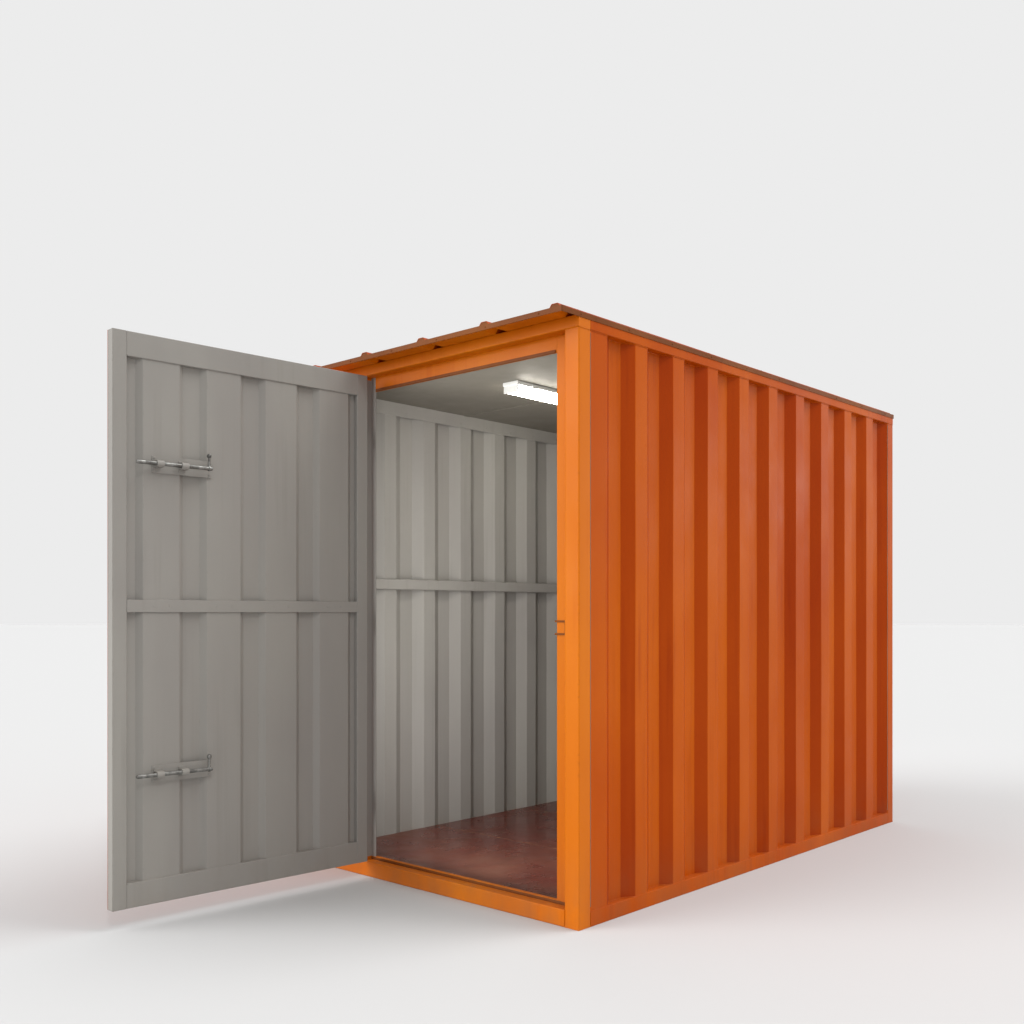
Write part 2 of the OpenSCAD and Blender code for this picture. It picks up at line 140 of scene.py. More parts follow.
class Recipe:
    """The nodes of one finish, added step by step."""

    def __init__(self, name: str) -> None:
        """Start an empty finish.

        Args:
            name: The material's name.
        """
        self.material = bpy.data.materials.new(name)
        self.material.use_nodes = True
        self.tree = self.material.node_tree
        self.tree.nodes.clear()
        output = self.node("ShaderNodeOutputMaterial")
        self.shader = self.node("ShaderNodeBsdfPrincipled")
        self.tree.links.new(self.shader.outputs["BSDF"], output.inputs["Surface"])
        self.place = self.node("ShaderNodeTexCoord").outputs["Object"]

    def node(self, kind: str, **settings: object) -> bpy.types.Node:
        """Add a node.

        Args:
            kind: Its type name.
            settings: Properties to set on it.

        Returns:
            The node.
        """
        made = self.tree.nodes.new(kind)
        for key, value in settings.items():
            setattr(made, key, value)
        return made

    def feed(self, socket: Socket, value: Union[Socket, float, Sequence[float]]) -> None:
        """Set a socket, or link it where the value is another node's output.

        Args:
            socket: The input.
            value: A number, a colour or an output.
        """
        if isinstance(value, bpy.types.NodeSocket):
            self.tree.links.new(value, socket)
        elif isinstance(value, (int, float)):
            socket.default_value = value
        else:
            socket.default_value = tuple(value) + (1.0,) * (len(socket.default_value) - len(value))

    def cloud(self, scale: float, stretch: Colour = (1, 1, 1), detail: float = 3.0,
              ragged: float = 0.55, swirl: float = 0.0) -> Socket:
        """Add noise.

        Args:
            scale: How many times it changes in a metre.
            stretch: A factor on the scale along each axis.
            detail: How many finer layers it has.
            ragged: How strong the finer layers are.
            swirl: How far it is distorted.

        Returns:
            The noise, about 0.5 on average.
        """
        mapping = self.node("ShaderNodeMapping")
        self.tree.links.new(self.place, mapping.inputs["Vector"])
        mapping.inputs["Scale"].default_value = stretch
        made = self.node("ShaderNodeTexNoise")
        self.tree.links.new(mapping.outputs["Vector"], made.inputs["Vector"])
        for key, value in (("Scale", scale), ("Detail", detail), ("Roughness", ragged),
                           ("Distortion", swirl)):
            made.inputs[key].default_value = value
        return made.outputs["Fac"]

    def span(self, value: Socket, low: float, high: float, first: float = 0.0, last: float = 1.0) -> Socket:
        """Map a value from one range to another, held at the ends.

        Args:
            value: What is mapped.
            low, high: The range it comes from.
            first, last: The range it goes to.

        Returns:
            The mapped value.
        """
        made = self.node("ShaderNodeMapRange", clamp=True)
        self.feed(made.inputs["Value"], value)
        for key, number in (("From Min", low), ("From Max", high), ("To Min", first),
                            ("To Max", last)):
            made.inputs[key].default_value = number
        return made.outputs["Result"]

    def sum(self, kind: str, first: Union[Socket, float], second: Union[Socket, float]) -> Socket:
        """Join two values by arithmetic.

        Args:
            kind: The operation, such as MULTIPLY.
            first, second: The two values.

        Returns:
            The result.
        """
        made = self.node("ShaderNodeMath", operation=kind)
        self.feed(made.inputs[0], first)
        self.feed(made.inputs[1], second)
        return made.outputs[0]

    def blend(self, amount: Union[Socket, float], under: Union[Socket, Colour],
              over: Union[Socket, Colour], kind: str = "MIX") -> Socket:
        """Lay one colour over another.

        Args:
            amount: How much of the upper colour shows.
            under, over: The two colours.
            kind: The way they blend.

        Returns:
            The blended colour.
        """
        made = self.node("ShaderNodeMix", data_type="RGBA", blend_type=kind, clamp_factor=True)
        self.feed(made.inputs[0], amount)
        self.feed(made.inputs[6], under)
        self.feed(made.inputs[7], over)
        return made.outputs[2]

    def axis(self, name: str) -> Socket:
        """Return one coordinate of the place, X, Y or Z."""
        parts = self.node("ShaderNodeSeparateXYZ")
        self.tree.links.new(self.place, parts.inputs[0])
        return parts.outputs[name]

    def facing_up(self) -> Socket:
        """Return how far the surface faces upwards, 1 on a level top."""
        parts = self.node("ShaderNodeSeparateXYZ")
        self.tree.links.new(self.node("ShaderNodeNewGeometry").outputs["Normal"], parts.inputs[0])
        return self.span(parts.outputs["Z"], 0.5, 0.95)

    def mark(self) -> Socket:
        """Return the mark that a piece's faces carry: 1 in bends and on edges, -1 on slopes."""
        return self.node("ShaderNodeAttribute", attribute_name="edge").outputs["Fac"]

    def wear(self) -> Socket:
        """Return 1 on a piece's rounded edges and 0 on its faces."""
        return self.span(self.mark(), 0, 1)

    def slopes(self) -> Socket:
        """Return 1 on the slopes of a sheet's flutes and 0 elsewhere."""
        return self.span(self.mark(), -1, 0, 1, 0)

    def relief(self, height: Socket, distance: float, strength: float,
               under: Optional[Socket] = None) -> Socket:
        """Add a bump.

        Args:
            height: The height, 0 to 1.
            distance: What a height of 1 stands for, in metres.
            strength: How strong it is.
            under: A bump that this one lies on.

        Returns:
            The bumped normal.
        """
        made = self.node("ShaderNodeBump")
        self.feed(made.inputs["Height"], height)
        made.inputs["Distance"].default_value = distance
        made.inputs["Strength"].default_value = strength
        if under is not None:
            self.feed(made.inputs["Normal"], under)
        return made.outputs["Normal"]

    def done(self, colour: Socket, rough: Union[Socket, float], normal: Optional[Socket] = None,
             metal: float = 0.0, gloss: float = 0.5) -> bpy.types.Material:
        """Finish the material.

        Args:
            colour: Its base colour.
            rough: Its roughness.
            normal: Its bumped normal.
            metal: 1 for bare metal.
            gloss: Specular level.

        Returns:
            The material.
        """
        self.feed(self.shader.inputs["Base Color"], colour)
        self.feed(self.shader.inputs["Roughness"], rough)
        if normal is not None:
            self.feed(self.shader.inputs["Normal"], normal)
        self.shader.inputs["Metallic"].default_value = metal
        self.shader.inputs["Specular IOR Level"].default_value = gloss
        return self.material


@dataclass(frozen=True)
class Enamel:
    """Sprayed enamel on steel, with rain marks, dust at the foot and worn edges.

    The numbers from dust to scuff are strengths from 0 to 1, and so is the painted shade on the
    slopes of a sheet's flutes. Splash is the height that dust reaches up the walls.
    """

    base: Colour
    pale: Colour
    deep: Colour
    rough: float = 0.38
    dust: float = 0.35
    rain: float = 0.25
    wear: float = 0.5
    bare: Colour = chip(96, 60, 38)
    dirt: Colour = chip(120, 92, 66)
    scuff: float = 0.0
    scraped: Colour = chip(128, 122, 116)
    gloss: float = 0.14
    # Painted shade on the slopes of the flutes: how strongly they are darkened, and the tint they are
    # darkened towards.
    slope_shade: float = 0.0
    slope_shade_tint: Colour = chip(214, 150, 120)
    splash: float = 0.42

    def mix(self, name: str) -> bpy.types.Material:
        """Mix the finish.

        Args:
            name: The material's name.

        Returns:
            The material.
        """
        r = Recipe(name)
        colour = r.blend(r.span(r.cloud(1.3, (1, 1, 0.45), 4), 0.35, 0.68), self.deep, self.base)
        faded = r.span(r.cloud(0.8, (1.4, 1.4, 0.5), 3, swirl=0.6), 0.48, 0.75)
        colour = r.blend(faded, colour, self.pale)
        fine = r.cloud(60, detail=2)
        colour = r.blend(r.span(fine, 0.35, 0.7, 0.0, 0.10), colour, self.deep)
        marks = r.span(r.cloud(1.0, (26, 26, 0.7), 4, swirl=0.2), 0.52, 0.72, 0, self.rain)
        marks = r.sum("MULTIPLY", marks, r.span(r.cloud(1.9), 0.4, 0.65))
        colour = r.blend(marks, colour, self.deep, "MULTIPLY")
        # Painted shade: the slopes of the sheet's flutes are darkened, as shade falls in the grooves.
        if self.slope_shade:
            colour = r.blend(r.sum("MULTIPLY", r.slopes(), self.slope_shade), colour, self.slope_shade_tint, "MULTIPLY")
        low = r.span(r.axis("Z"), 0.0, self.splash, 1.0, 0.0)
        low = r.sum("MULTIPLY", r.sum("POWER", low, 2.0),
                    r.span(r.cloud(9, (1, 1, 0.6), 5), 0.32, 0.62))
        lying = r.sum("MULTIPLY", r.facing_up(), r.span(r.cloud(6, detail=5), 0.35, 0.7, 0.25, 1.0))
        dusty = r.sum("MULTIPLY", r.sum("MAXIMUM", low, lying), self.dust)
        colour = r.blend(dusty, colour, self.dirt)
        scratch = r.span(r.cloud(14, (1, 1, 4), 6, 0.7, 1.2), 0.60, 0.66, 0, self.scuff)
        scratch = r.sum("MULTIPLY", scratch, r.facing_up())
        colour = r.blend(scratch, colour, self.scraped)
        worn = r.sum("MULTIPLY", r.wear(),
                     r.span(r.cloud(34, detail=5, ragged=0.65), 0.54, 0.66, 0, self.wear))
        colour = r.blend(worn, colour, self.bare)
        rough = r.span(r.cloud(4.5, detail=4), 0.3, 0.7, self.rough - 0.07, self.rough + 0.10)
        rough = r.sum("ADD", rough, r.sum("MULTIPLY", r.sum("ADD", dusty, worn), 0.35))
        dents = r.relief(r.cloud(2.2, (1, 1, 0.6), 2), 0.010, 0.22)
        skin = r.relief(r.cloud(320, detail=1), 0.0004, 0.16, dents)
        skin = r.relief(worn, 0.0006, 0.5, skin)
        return r.done(colour, rough, skin, gloss=self.gloss)


@dataclass(frozen=True)
class FilmedPly:
    """Ply board faced with a dark phenolic film, with the grain showing through.

    The board is dustiest at the doorway and cleanest from clean_y on, along Y.
    """

    film: Colour = chip(98, 38, 26)
    vein: Colour = chip(78, 30, 22)
    bare: Colour = chip(160, 124, 88)
    worn: Colour = chip(118, 58, 42)
    dust: Colour = chip(128, 92, 74)
    doorway_y: float = -1.42
    clean_y: float = -0.5

    def mix(self, name: str) -> bpy.types.Material:
        """Mix the finish.

        Args:
            name: The material's name.

        Returns:
            The material.
        """
        r = Recipe(name)
        grain = r.cloud(5, (9, 1.1, 1), 6, 0.62, 0.6)
        colour = r.blend(r.span(grain, 0.36, 0.64), self.film, self.vein)
        colour = r.blend(r.span(r.cloud(1.4, detail=3), 0.5, 0.75, 0, 0.35), colour, self.worn)
        step = r.span(r.axis("Y"), self.doorway_y, self.clean_y, 0.55, 0.06)
        dusty = r.sum("MULTIPLY", step, r.span(r.cloud(3, detail=4, ragged=0.55), 0.35, 0.7))
        colour = r.blend(dusty, colour, self.dust)
        scratch = r.span(r.cloud(16, (0.3, 2.6, 1), 5, 0.75, 0.8), 0.62, 0.68, 0, 0.25)
        colour = r.blend(scratch, colour, self.worn)
        worn = r.sum("MULTIPLY", r.wear(), r.span(r.cloud(40), 0.4, 0.6, 0, 0.7))
        colour = r.blend(worn, colour, self.bare)
        rough = r.span(r.cloud(5, detail=5), 0.35, 0.68, 0.16, 0.34)
        rough = r.sum("ADD", rough, r.sum("MULTIPLY", dusty, 0.4))
        mesh = r.relief(r.cloud(230, detail=1), 0.0005, 0.25, r.relief(grain, 0.0012, 0.30))
        return r.done(colour, rough, mesh, gloss=0.38)


@dataclass(frozen=True)
class Plated:
    """Zinc plate, dull and spotted."""

    base: Colour = chip(150, 150, 146)
    deep: Colour = chip(96, 95, 92)
    rust: Colour = chip(116, 74, 48)

    def mix(self, name: str) -> bpy.types.Material:
        """Mix the finish.

        Args:
            name: The material's name.

        Returns:
            The material.
        """
        r = Recipe(name)
        colour = r.blend(r.span(r.cloud(38, detail=4), 0.35, 0.65), self.deep, self.base)
        spots = r.span(r.cloud(85, detail=5, ragged=0.7), 0.62, 0.72, 0, 0.5)
        colour = r.blend(spots, colour, self.rust)
        rough = r.span(r.cloud(24, detail=4), 0.3, 0.7, 0.34, 0.56)
        brushed = r.relief(r.cloud(160, (1, 1, 7), 2), 0.0003, 0.3)
        return r.done(colour, rough, brushed, metal=0.85)


@dataclass(frozen=True)
class Lit:
    """An opal diffuser with its lamp on, shaded between its fine ribs."""

    colour: Colour = chip(255, 250, 240)
    shade: Colour = chip(235, 232, 224)
    power: float = 16.0

    def mix(self, name: str) -> bpy.types.Material:
        """Mix the finish.

        Args:
            name: The material's name.

        Returns:
            The material.
        """
        r = Recipe(name)
        ribs = r.cloud(1.0, (220, 3, 220), 1)
        colour = r.blend(r.span(ribs, 0.4, 0.6, 0, 0.25), self.colour, self.shade)
        material = r.done(colour, r.span(ribs, 0.3, 0.7, 0.3, 0.45), r.relief(ribs, 0.0006, 0.4))
        r.feed(r.shader.inputs["Emission Color"], colour)
        r.shader.inputs["Emission Strength"].default_value = self.power
        return material


@dataclass(frozen=True)
class Dull:
    """A dull surface such as rubber, primer or painted board."""

    base: Colour
    deep: Colour
    rough: float = 0.75
    grain: float = 40.0

    def mix(self, name: str) -> bpy.types.Material:
        """Mix the finish.

        Args:
            name: The material's name.

        Returns:
            The material.
        """
        r = Recipe(name)
        colour = r.blend(r.span(r.cloud(1.7, detail=5), 0.35, 0.68), self.deep, self.base)
        colour = r.blend(r.span(r.cloud(self.grain, detail=4), 0.4, 0.7, 0, 0.25), colour, self.deep)
        rough = r.span(r.cloud(7, detail=4), 0.3, 0.7, self.rough - 0.08, self.rough + 0.08)
        skin = r.relief(r.cloud(self.grain * 5, detail=3), 0.0005, 0.35)
        return r.done(colour, rough, skin, gloss=0.4)


class Coat(Enum):
    """Every finish, with the slot of the record that it belongs to."""

    ORANGE = "orange_paint"
    # Painted light: a lighter copy of the orange for faces towards the front, which look lit.
    LIT_FRONT = "front_paint"
    GREY = "grey_paint"
    CEILING = "ceiling_paint"
    TRIM = "trim_paint"
    PRIMER = "joist_paint"
    PLY = "floor_ply"
    HOUSING = "lamp_housing"
    DIFFUSER = "lamp_diffuser"
    ZINC = "zinc_steel"


FINISHES: dict[Coat, Union[Enamel, FilmedPly, Plated, Lit, Dull]] = {
    # The side orange carries painted shade on the slopes of its flutes.
    Coat.ORANGE: Enamel(chip(186, 84, 1), chip(194, 92, 4), chip(174, 70, 0), dust=0.25, rain=0.3,
                        wear=0.12, slope_shade=0.6, gloss=0.08),
    # Painted light: the same orange made paler and yellower for the faces towards the front, because they
    # look lit.
    Coat.LIT_FRONT: Enamel(chip(210, 112, 8), chip(216, 122, 16), chip(198, 100, 4), scuff=0.4, wear=0.15),
    Coat.GREY: Enamel(chip(151, 148, 141), chip(157, 154, 147), chip(142, 138, 133), rough=0.42,
                      dust=0.25, rain=0.12, wear=0.12, bare=chip(84, 78, 72),
                      dirt=chip(126, 112, 98)),
    Coat.CEILING: Dull(chip(124, 119, 108), chip(112, 107, 97), 0.6, 60),
    Coat.TRIM: Enamel(chip(126, 70, 26), chip(136, 80, 34), chip(110, 58, 20), rough=0.5, dust=0.25,
                      wear=0.1),
    Coat.PRIMER: Dull(chip(84, 80, 76), chip(62, 58, 55), 0.7, 30),
    Coat.PLY: FilmedPly(),
    Coat.HOUSING: Enamel(chip(222, 222, 218), chip(230, 230, 226), chip(205, 205, 200), dust=0.1,
                         rain=0.05, wear=0.2, bare=chip(150, 150, 148)),
    Coat.DIFFUSER: Lit(),
    Coat.ZINC: Plated(),
}


class PaintShop:
    """Mixes each finish once and hands it out."""

    mixed: dict[Coat, bpy.types.Material] = {}

    @classmethod
    def pot(cls, coat: Coat) -> bpy.types.Material:
        """Return the material of a coat, mixed at its first use.

        Args:
            coat: Which finish.

        Returns:
            The material.
        """
        if coat not in cls.mixed:
            cls.mixed[coat] = FINISHES[coat].mix(coat.value)
        return cls.mixed[coat]


# ---------------------------------------------------------------- shaping


def rounded(outline: Line, radius: float, steps: int = 3, closed: bool = True) -> Line:
    """Round the corners of an outline.

    Args:
        outline: Its corners in order.
        radius: How far each corner is rounded.
        steps: How many segments each corner gets.
        closed: Whether the last corner joins the first.

    Returns:
        The rounded outline.
    """
    made: Line = []
    count = len(outline)
    for i, (x, y) in enumerate(outline):
        if not closed and i in (0, count - 1):
            made.append((x, y))
            continue
        corner = Vector((x, y))
        before, after = Vector(outline[i - 1]) - corner, Vector(outline[(i + 1) % count]) - corner
        turn = math.pi - before.angle(after)
        if turn < 0.02:
            made.append((x, y))
            continue
        cut = min(radius * math.tan(turn / 2), 0.45 * before.length, 0.45 * after.length)
        first, last = corner + before.normalized() * cut, corner + after.normalized() * cut
        for k in range(steps + 1):
            t = k / steps
            p = first * (1 - t) ** 2 + corner * 2 * t * (1 - t) + last * t * t
            made.append((p.x, p.y))
    return made


def rectangle(x0: float, y0: float, x1: float, y1: float) -> Line:
    """Return the corners of a rectangle, anticlockwise."""
    return [(x0, y0), (x1, y0), (x1, y1), (x0, y1)]


def bend_marks(fold: Line) -> list[float]:
    """Mark the sides in the bends of a fold whose corners are rounded in two steps."""
    return [float(i % 3 < 2) for i in range(len(fold))]


def evenly(start: float, end: float, count: int) -> list[float]:
    """Return evenly spaced places from the start to the end, both included."""
    return [start + (end - start) * k / (count - 1) for k in range(count)]


def divided(line: Line, longest: float) -> Line:
    """Split the long segments of a line.

    Args:
        line: Its points.
        longest: The longest segment wanted.

    Returns:
        The line with points added.
    """
    made: Line = [line[0]]
    for (x0, y0), (x1, y1) in zip(line, line[1:]):
        parts = max(1, math.ceil(math.hypot(x1 - x0, y1 - y0) / longest))
        made += [(x0 + (x1 - x0) * k / parts, y0 + (y1 - y0) * k / parts)
                 for k in range(1, parts + 1)]
    return made


def shifted(line: Line, distance: float) -> Line:
    """Move an open line sideways, to its left.

    Args:
        line: Its points.
        distance: How far it moves.

    Returns:
        The moved line.
    """
    made: Line = []
    for i, (x, y) in enumerate(line):
        x0, y0 = line[max(i - 1, 0)]
        x1, y1 = line[min(i + 1, len(line) - 1)]
        run = math.hypot(x1 - x0, y1 - y0) or 1.0
        made.append((x - (y1 - y0) / run * distance, y + (x1 - x0) / run * distance))
    return made


class Blank:
    """A mesh being made. Its faces are marked 1 on edges and in bends, -1 on slopes, else 0."""

    def __init__(self) -> None:
        """Start with nothing."""
        self.points: list[Vector] = []
        self.faces: list[tuple[int, ...]] = []
        self.edge: list[float] = []

    def add(self, points: Sequence[Vector], faces: Sequence[Sequence[int]],
            edge: Union[float, Sequence[float]] = 0.0) -> "Blank":
        """Add points and faces.

        Args:
            points: The new points.
            faces: The new faces, counted from the first new point.
            edge: The mark of each face, or one for all of them.

        Returns:
            This blank.
        """
        base = len(self.points)
        self.points += [Vector(p) for p in points]
        self.faces += [tuple(base + i for i in f) for f in faces]
        self.edge += [edge] * len(faces) if isinstance(edge, (int, float)) else list(edge)
        return self

    def take(self, other: "Blank", matrix: Optional[Matrix] = None) -> "Blank":
        """Add another blank's mesh, moved by a matrix where one is given."""
        points = other.points if matrix is None else [matrix @ p for p in other.points]
        return self.add(points, other.faces, other.edge)

    def block(self, low: Sequence[float], high: Sequence[float], radius: float = 0.003,
              steps: int = 2) -> "Blank":
        """Add a block with rounded edges.

        Args:
            low, high: Its two corners.
            radius: How far its edges are rounded.
            steps: How many segments each edge gets.

        Returns:
            This blank.
        """
        shape = bmesh.new()
        size = Vector(high) - Vector(low)
        middle = (Vector(high) + Vector(low)) / 2
        bmesh.ops.create_cube(shape, size=1.0)
        bmesh.ops.scale(shape, vec=size, verts=shape.verts)
        bmesh.ops.translate(shape, vec=middle, verts=shape.verts)
        radius = min(radius, min(size) * 0.42)
        bmesh.ops.bevel(shape, geom=shape.edges[:], offset=radius, segments=steps,
                        profile=0.5, affect="EDGES")
        shape.verts.index_update()
        marks = [0.0 if max(abs(c) for c in f.normal) > 0.9999 else 1.0 for f in shape.faces]
        self.add([v.co.copy() for v in shape.verts],
                 [[v.index for v in f.verts] for f in shape.faces], marks)
        shape.free()
        return self

    def drawn(self, outline: Line, along: Along, start: float, end: float, rows: int = 1,
              marks: Optional[Sequence[float]] = None) -> "Blank":
        """Draw a closed outline out to a solid bar.

        Args:
            outline: The section, in the two coordinates left by the direction.
            along: The direction.
            start, end: Where the bar begins and ends.
            rows: How many lengths it is divided into.
            marks: The edge mark of each side of the outline.

        Returns:
            This blank.
        """
        n = len(outline)
        points = [along.point(a, b, start + (end - start) * k / rows)
                  for k in range(rows + 1) for a, b in outline]
        faces = [(k * n + i, k * n + (i + 1) % n, (k + 1) * n + (i + 1) % n, (k + 1) * n + i)
                 for k in range(rows) for i in range(n)]
        edge = list(marks or [0.0] * n) * rows
        faces += [tuple(range(n)), tuple(rows * n + i for i in range(n))]
        return self.add(points, faces, edge + [0.0, 0.0])

    def tube(self, low: Sequence[float], high: Sequence[float], along: Along, radius: float = 0.006,
             broken: float = 0.0015) -> "Blank":
        """Add a square tube's outside with rounded corners and lightly broken ends.

        Args:
            low, high: Its two corners.
            along: The direction that it runs in.
            radius: The radius of its long corners.
            broken: How far its end edges are broken.

        Returns:
            This blank.
        """
        a, b = [i for i in range(3) if i != along.value]
        sides = rounded(rectangle(low[a], low[b], high[a], high[b]), radius, 4)
        inner = rounded(rectangle(low[a] + broken, low[b] + broken, high[a] - broken, high[b] - broken),
                        radius, 4)
        n = len(sides)
        s, e = low[along.value], high[along.value]
        rings = [(inner, s), (sides, s + broken), (sides, e - broken), (inner, e)]
        points = [along.point(p, q, h) for ring, h in rings for p, q in ring]
        faces, edge = [], []
        for k in range(3):
            for i in range(n):
                j = (i + 1) % n
                faces.append((k * n + i, k * n + j, (k + 1) * n + j, (k + 1) * n + i))
                edge.append(1.0 if k != 1 or i % 5 != 4 else 0.0)
        faces += [tuple(range(n)), tuple(3 * n + i for i in range(n))]
        return self.add(points, faces, edge + [0.0, 0.0])

    def sheet(self, line: Line, thick: float, place: Callable[[float, float, float], Vector],
              start: float, end: float, rows: int = 20, waver: float = 0.0,
              seed: float = 0.0) -> "Blank":
        """Add a bent sheet of even height.

        Args:
            line: Its section as an open line of (along, in) points.
            thick: Its thickness, laid on the inner side.
            place: Turns (along, in, up) into a point in space.
            start, end: Its lower and upper ends.
            rows: How many rows it is divided into.
            waver: How far it is out of true, in metres.
            seed: Makes each sheet's unevenness its own.

        Returns:
            This blank.
        """
        n = len(line)
        under = shifted(line, thick)
        points = []
        for k in range(rows + 1):
            up = start + (end - start) * k / rows
            fade = min(1.0, 4 * k / rows, 4 * (rows - k) / rows)
            for ring in (line, under):
                for (x, y), (u, v) in zip(line, ring):
                    off = waver * fade * noise.noise(Vector((x * 3.1 + seed, y * 8, up * 1.7)))
                    points.append(place(u, v + off, up))
        faces, edge = [], []
        for k in range(rows):
            a, b = k * 2 * n, (k + 1) * 2 * n
            for i in range(n - 1):
                slope = abs(line[i + 1][1] - line[i][1]) / (math.dist(line[i], line[i + 1]) or 1)
                mark = 1.0 if BEND_FROM < slope < SLOPE_FROM else -1.0 if slope >= SLOPE_FROM else 0.0
                faces += [(a + i, a + i + 1, b + i + 1, b + i),
                          (a + n + i, b + n + i, b + n + i + 1, a + n + i + 1)]
                edge += [mark, mark]
            faces += [(a, b, b + n, a + n),
                      (a + n - 1, a + 2 * n - 1, b + 2 * n - 1, b + n - 1)]
            edge += [1.0, 1.0]
        for a in (0, rows * 2 * n):
            faces += [(a + i, a + n + i, a + n + i + 1, a + i + 1) for i in range(n - 1)]
            edge += [1.0] * (n - 1)
        return self.add(points, faces, edge)

    def rings(self, points: Sequence[Vector], sides: int) -> "Blank":
        """Join rings of points, one after another, into a closed round bar.

        Args:
            points: Every ring's points, in order.
            sides: How many points a ring has.

        Returns:
            This blank.
        """
        last = len(points) // sides - 1
        faces = [(i * sides + k, i * sides + (k + 1) % sides,
                  (i + 1) * sides + (k + 1) % sides, (i + 1) * sides + k)
                 for i in range(last) for k in range(sides)]
        faces += [tuple(range(sides)), tuple(last * sides + k for k in range(sides))]
        return self.add(points, faces)

    def pipe(self, path: Sequence[Vector], radius: Union[float, Callable[[int], float]],
             sides: int = 12) -> "Blank":
        """Add a round bar along a path.

        Args:
            path: The points of its centre line.
            radius: Its radius, or a function of the point's number.
            sides: How many sides it has.

        Returns:
            This blank.
        """
        points: list[Vector] = []
        side = Vector((0.31, 0.17, 0.93))
        for i, p in enumerate(path):
            ahead = (path[min(i + 1, len(path) - 1)] - path[max(i - 1, 0)]).normalized()
            side = (side - ahead * side.dot(ahead)).normalized()
            across = ahead.cross(side)
            r = radius(i) if callable(radius) else radius
            points += [p + (side * math.cos(2 * math.pi * k / sides)
                            + across * math.sin(2 * math.pi * k / sides)) * r for k in range(sides)]
        return self.rings(points, sides)

    def weld(self, path: Sequence[Vector], radius: float = 0.0028, step: float = 0.006) -> "Blank":
        """Lay a weld bead, with the ripples of its passes, along a path.

        Args:
            path: The corners of its line.
            radius: Its mean radius.
            step: The length of a ripple's half.

        Returns:
            This blank.
        """
        run: list[Vector] = [Vector(path[0])]
        for a, b in zip(path, path[1:]):
            parts = max(1, round((Vector(b) - Vector(a)).length / step))
            run += [Vector(a).lerp(Vector(b), k / parts) for k in range(1, parts + 1)]
        swell = [radius * (0.84 + 0.16 * (i % 2) + 0.2 * noise.noise(p * 31)) for i, p in enumerate(run)]
        return self.pipe(run, lambda i: swell[i], 6)

    def turned(self, profile: Line, base: Sequence[float], axis: Sequence[float],
               sides: int = 24) -> "Blank":
        """Turn a profile about an axis, as on a lathe.

        Args:
            profile: Points of (radius, distance along the axis), from one end to the other.
            base: Where the distance is 0.
            axis: The axis' direction.
            sides: How many sides it has.

        Returns:
            This blank.
        """
        out = Vector(axis).normalized()
        side = out.orthogonal().normalized()
        across = out.cross(side)
        points = [Vector(base) + out * h + (side * math.cos(2 * math.pi * k / sides)
                                            + across * math.sin(2 * math.pi * k / sides)) * r
                  for r, h in profile for k in range(sides)]
        return self.rings(points, sides)

    def rod(self, base: Sequence[float], end: Sequence[float], radius: float, sides: int = 28,
            broken: float = 0.0012) -> "Blank":
        """Add a round rod with broken edges.

        Args:
            base, end: The centres of its ends.
            radius: Its radius.
            sides: How many sides it has.
            broken: How far its end edges are broken.

        Returns:
            This blank.
        """
        axis = Vector(end) - Vector(base)
        long = axis.length
        return self.turned([(radius - broken, 0), (radius, broken), (radius, long - broken),
                            (radius - broken, long)], base, axis, sides)

    def screw(self, base: Sequence[float], axis: Sequence[float], head: float = 0.0055,
              washer: float = 0.009) -> "Blank":
        """Add a hexagon screw head on its washer.

        Args:
            base: The point on the surface under it.
            axis: The way it stands out.
            head: The radius of its head.
            washer: The radius of its washer.

        Returns:
            This blank.
        """
        flat, top = 0.0018, 0.0062
        self.turned([(washer, 0), (washer, 0.0010), (washer * 0.86, flat), (head, flat)], base, axis, 16)
        return self.turned([(head, flat), (head, 0.0050), (head * 0.86, top)], base, axis, 6)

    def made(self, name: str, coat: Coat, body: Body = Body.CABIN, nodes: Sequence[str] = (),
             swing: Optional[Matrix] = None) -> bpy.types.Object:
        """Turn the blank into a piece of the cabin.

        Args:
            name: The piece's name.
            coat: Its finish.
            body: The body that it rides on.
            nodes: The nodes of the frame that it stands for.
            swing: A matrix that swings it open with the door.

        Returns:
            The piece.
        """
        mesh = bpy.data.meshes.new(name)
        mesh.from_pydata([swing @ p for p in self.points] if swing else self.points, [], self.faces)
        mark = mesh.attributes.new("edge", "FLOAT", "FACE")
        mark.data.foreach_set("value", self.edge)
        shape = bmesh.new()
        shape.from_mesh(mesh)
        bmesh.ops.recalc_face_normals(shape, faces=shape.faces)
        shape.to_mesh(mesh)
        shape.free()
        mesh.materials.append(PaintShop.pot(coat))
        mesh.shade_smooth()
        mesh.set_sharp_from_angle(angle=math.radians(48))
        piece = bpy.data.objects.new(name, mesh)
        bpy.context.scene.collection.objects.link(piece)
        even = piece.modifiers.new("even_faces", "WEIGHTED_NORMAL")
        even.keep_sharp = True
        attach(piece, body.value)
        if nodes:
            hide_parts(*nodes)
        log.info("%s: %d faces, %s", name, len(mesh.polygons), coat.value)
        return piece


@dataclass(frozen=True)
class Flutes:
    """The flutes of a sheet: where they lie and the shape of each."""

    pitch: float
    flat: float
    slope: float
    depth: float
    bend: float = 0.008

    def line(self, length: float, first: float, count: int) -> Line:
        """Draw the sheet's section.

        Args:
            length: Its whole width.
            first: The centre of its first flute.
            count: How many flutes it has.

        Returns:
            The section as an open line of (along, in) points, with rounded bends.
        """
        corners: Line = [(0.0, 0.0)]
        for i in range(count):
            c = first + i * self.pitch
            corners += [(c - self.flat / 2 - self.slope, 0.0), (c - self.flat / 2, self.depth),
                        (c + self.flat / 2, self.depth), (c + self.flat / 2 + self.slope, 0.0)]
        corners.append((length, 0.0))
        return divided(rounded(corners, self.bend, 3, closed=False), 0.07)


# ---------------------------------------------------------------- the cabin


def coated(name: str, low: Sequence[float], high: Sequence[float], coat: Coat = Coat.GREY) -> None:
    """Add a thin inner coat on a frame member's face.

    Args:
        name: The piece's name.
        low, high: The corners of the coat.
        coat: Its finish.
    """
    Blank().block(low, high, 0.0004, 1).made(name, coat)


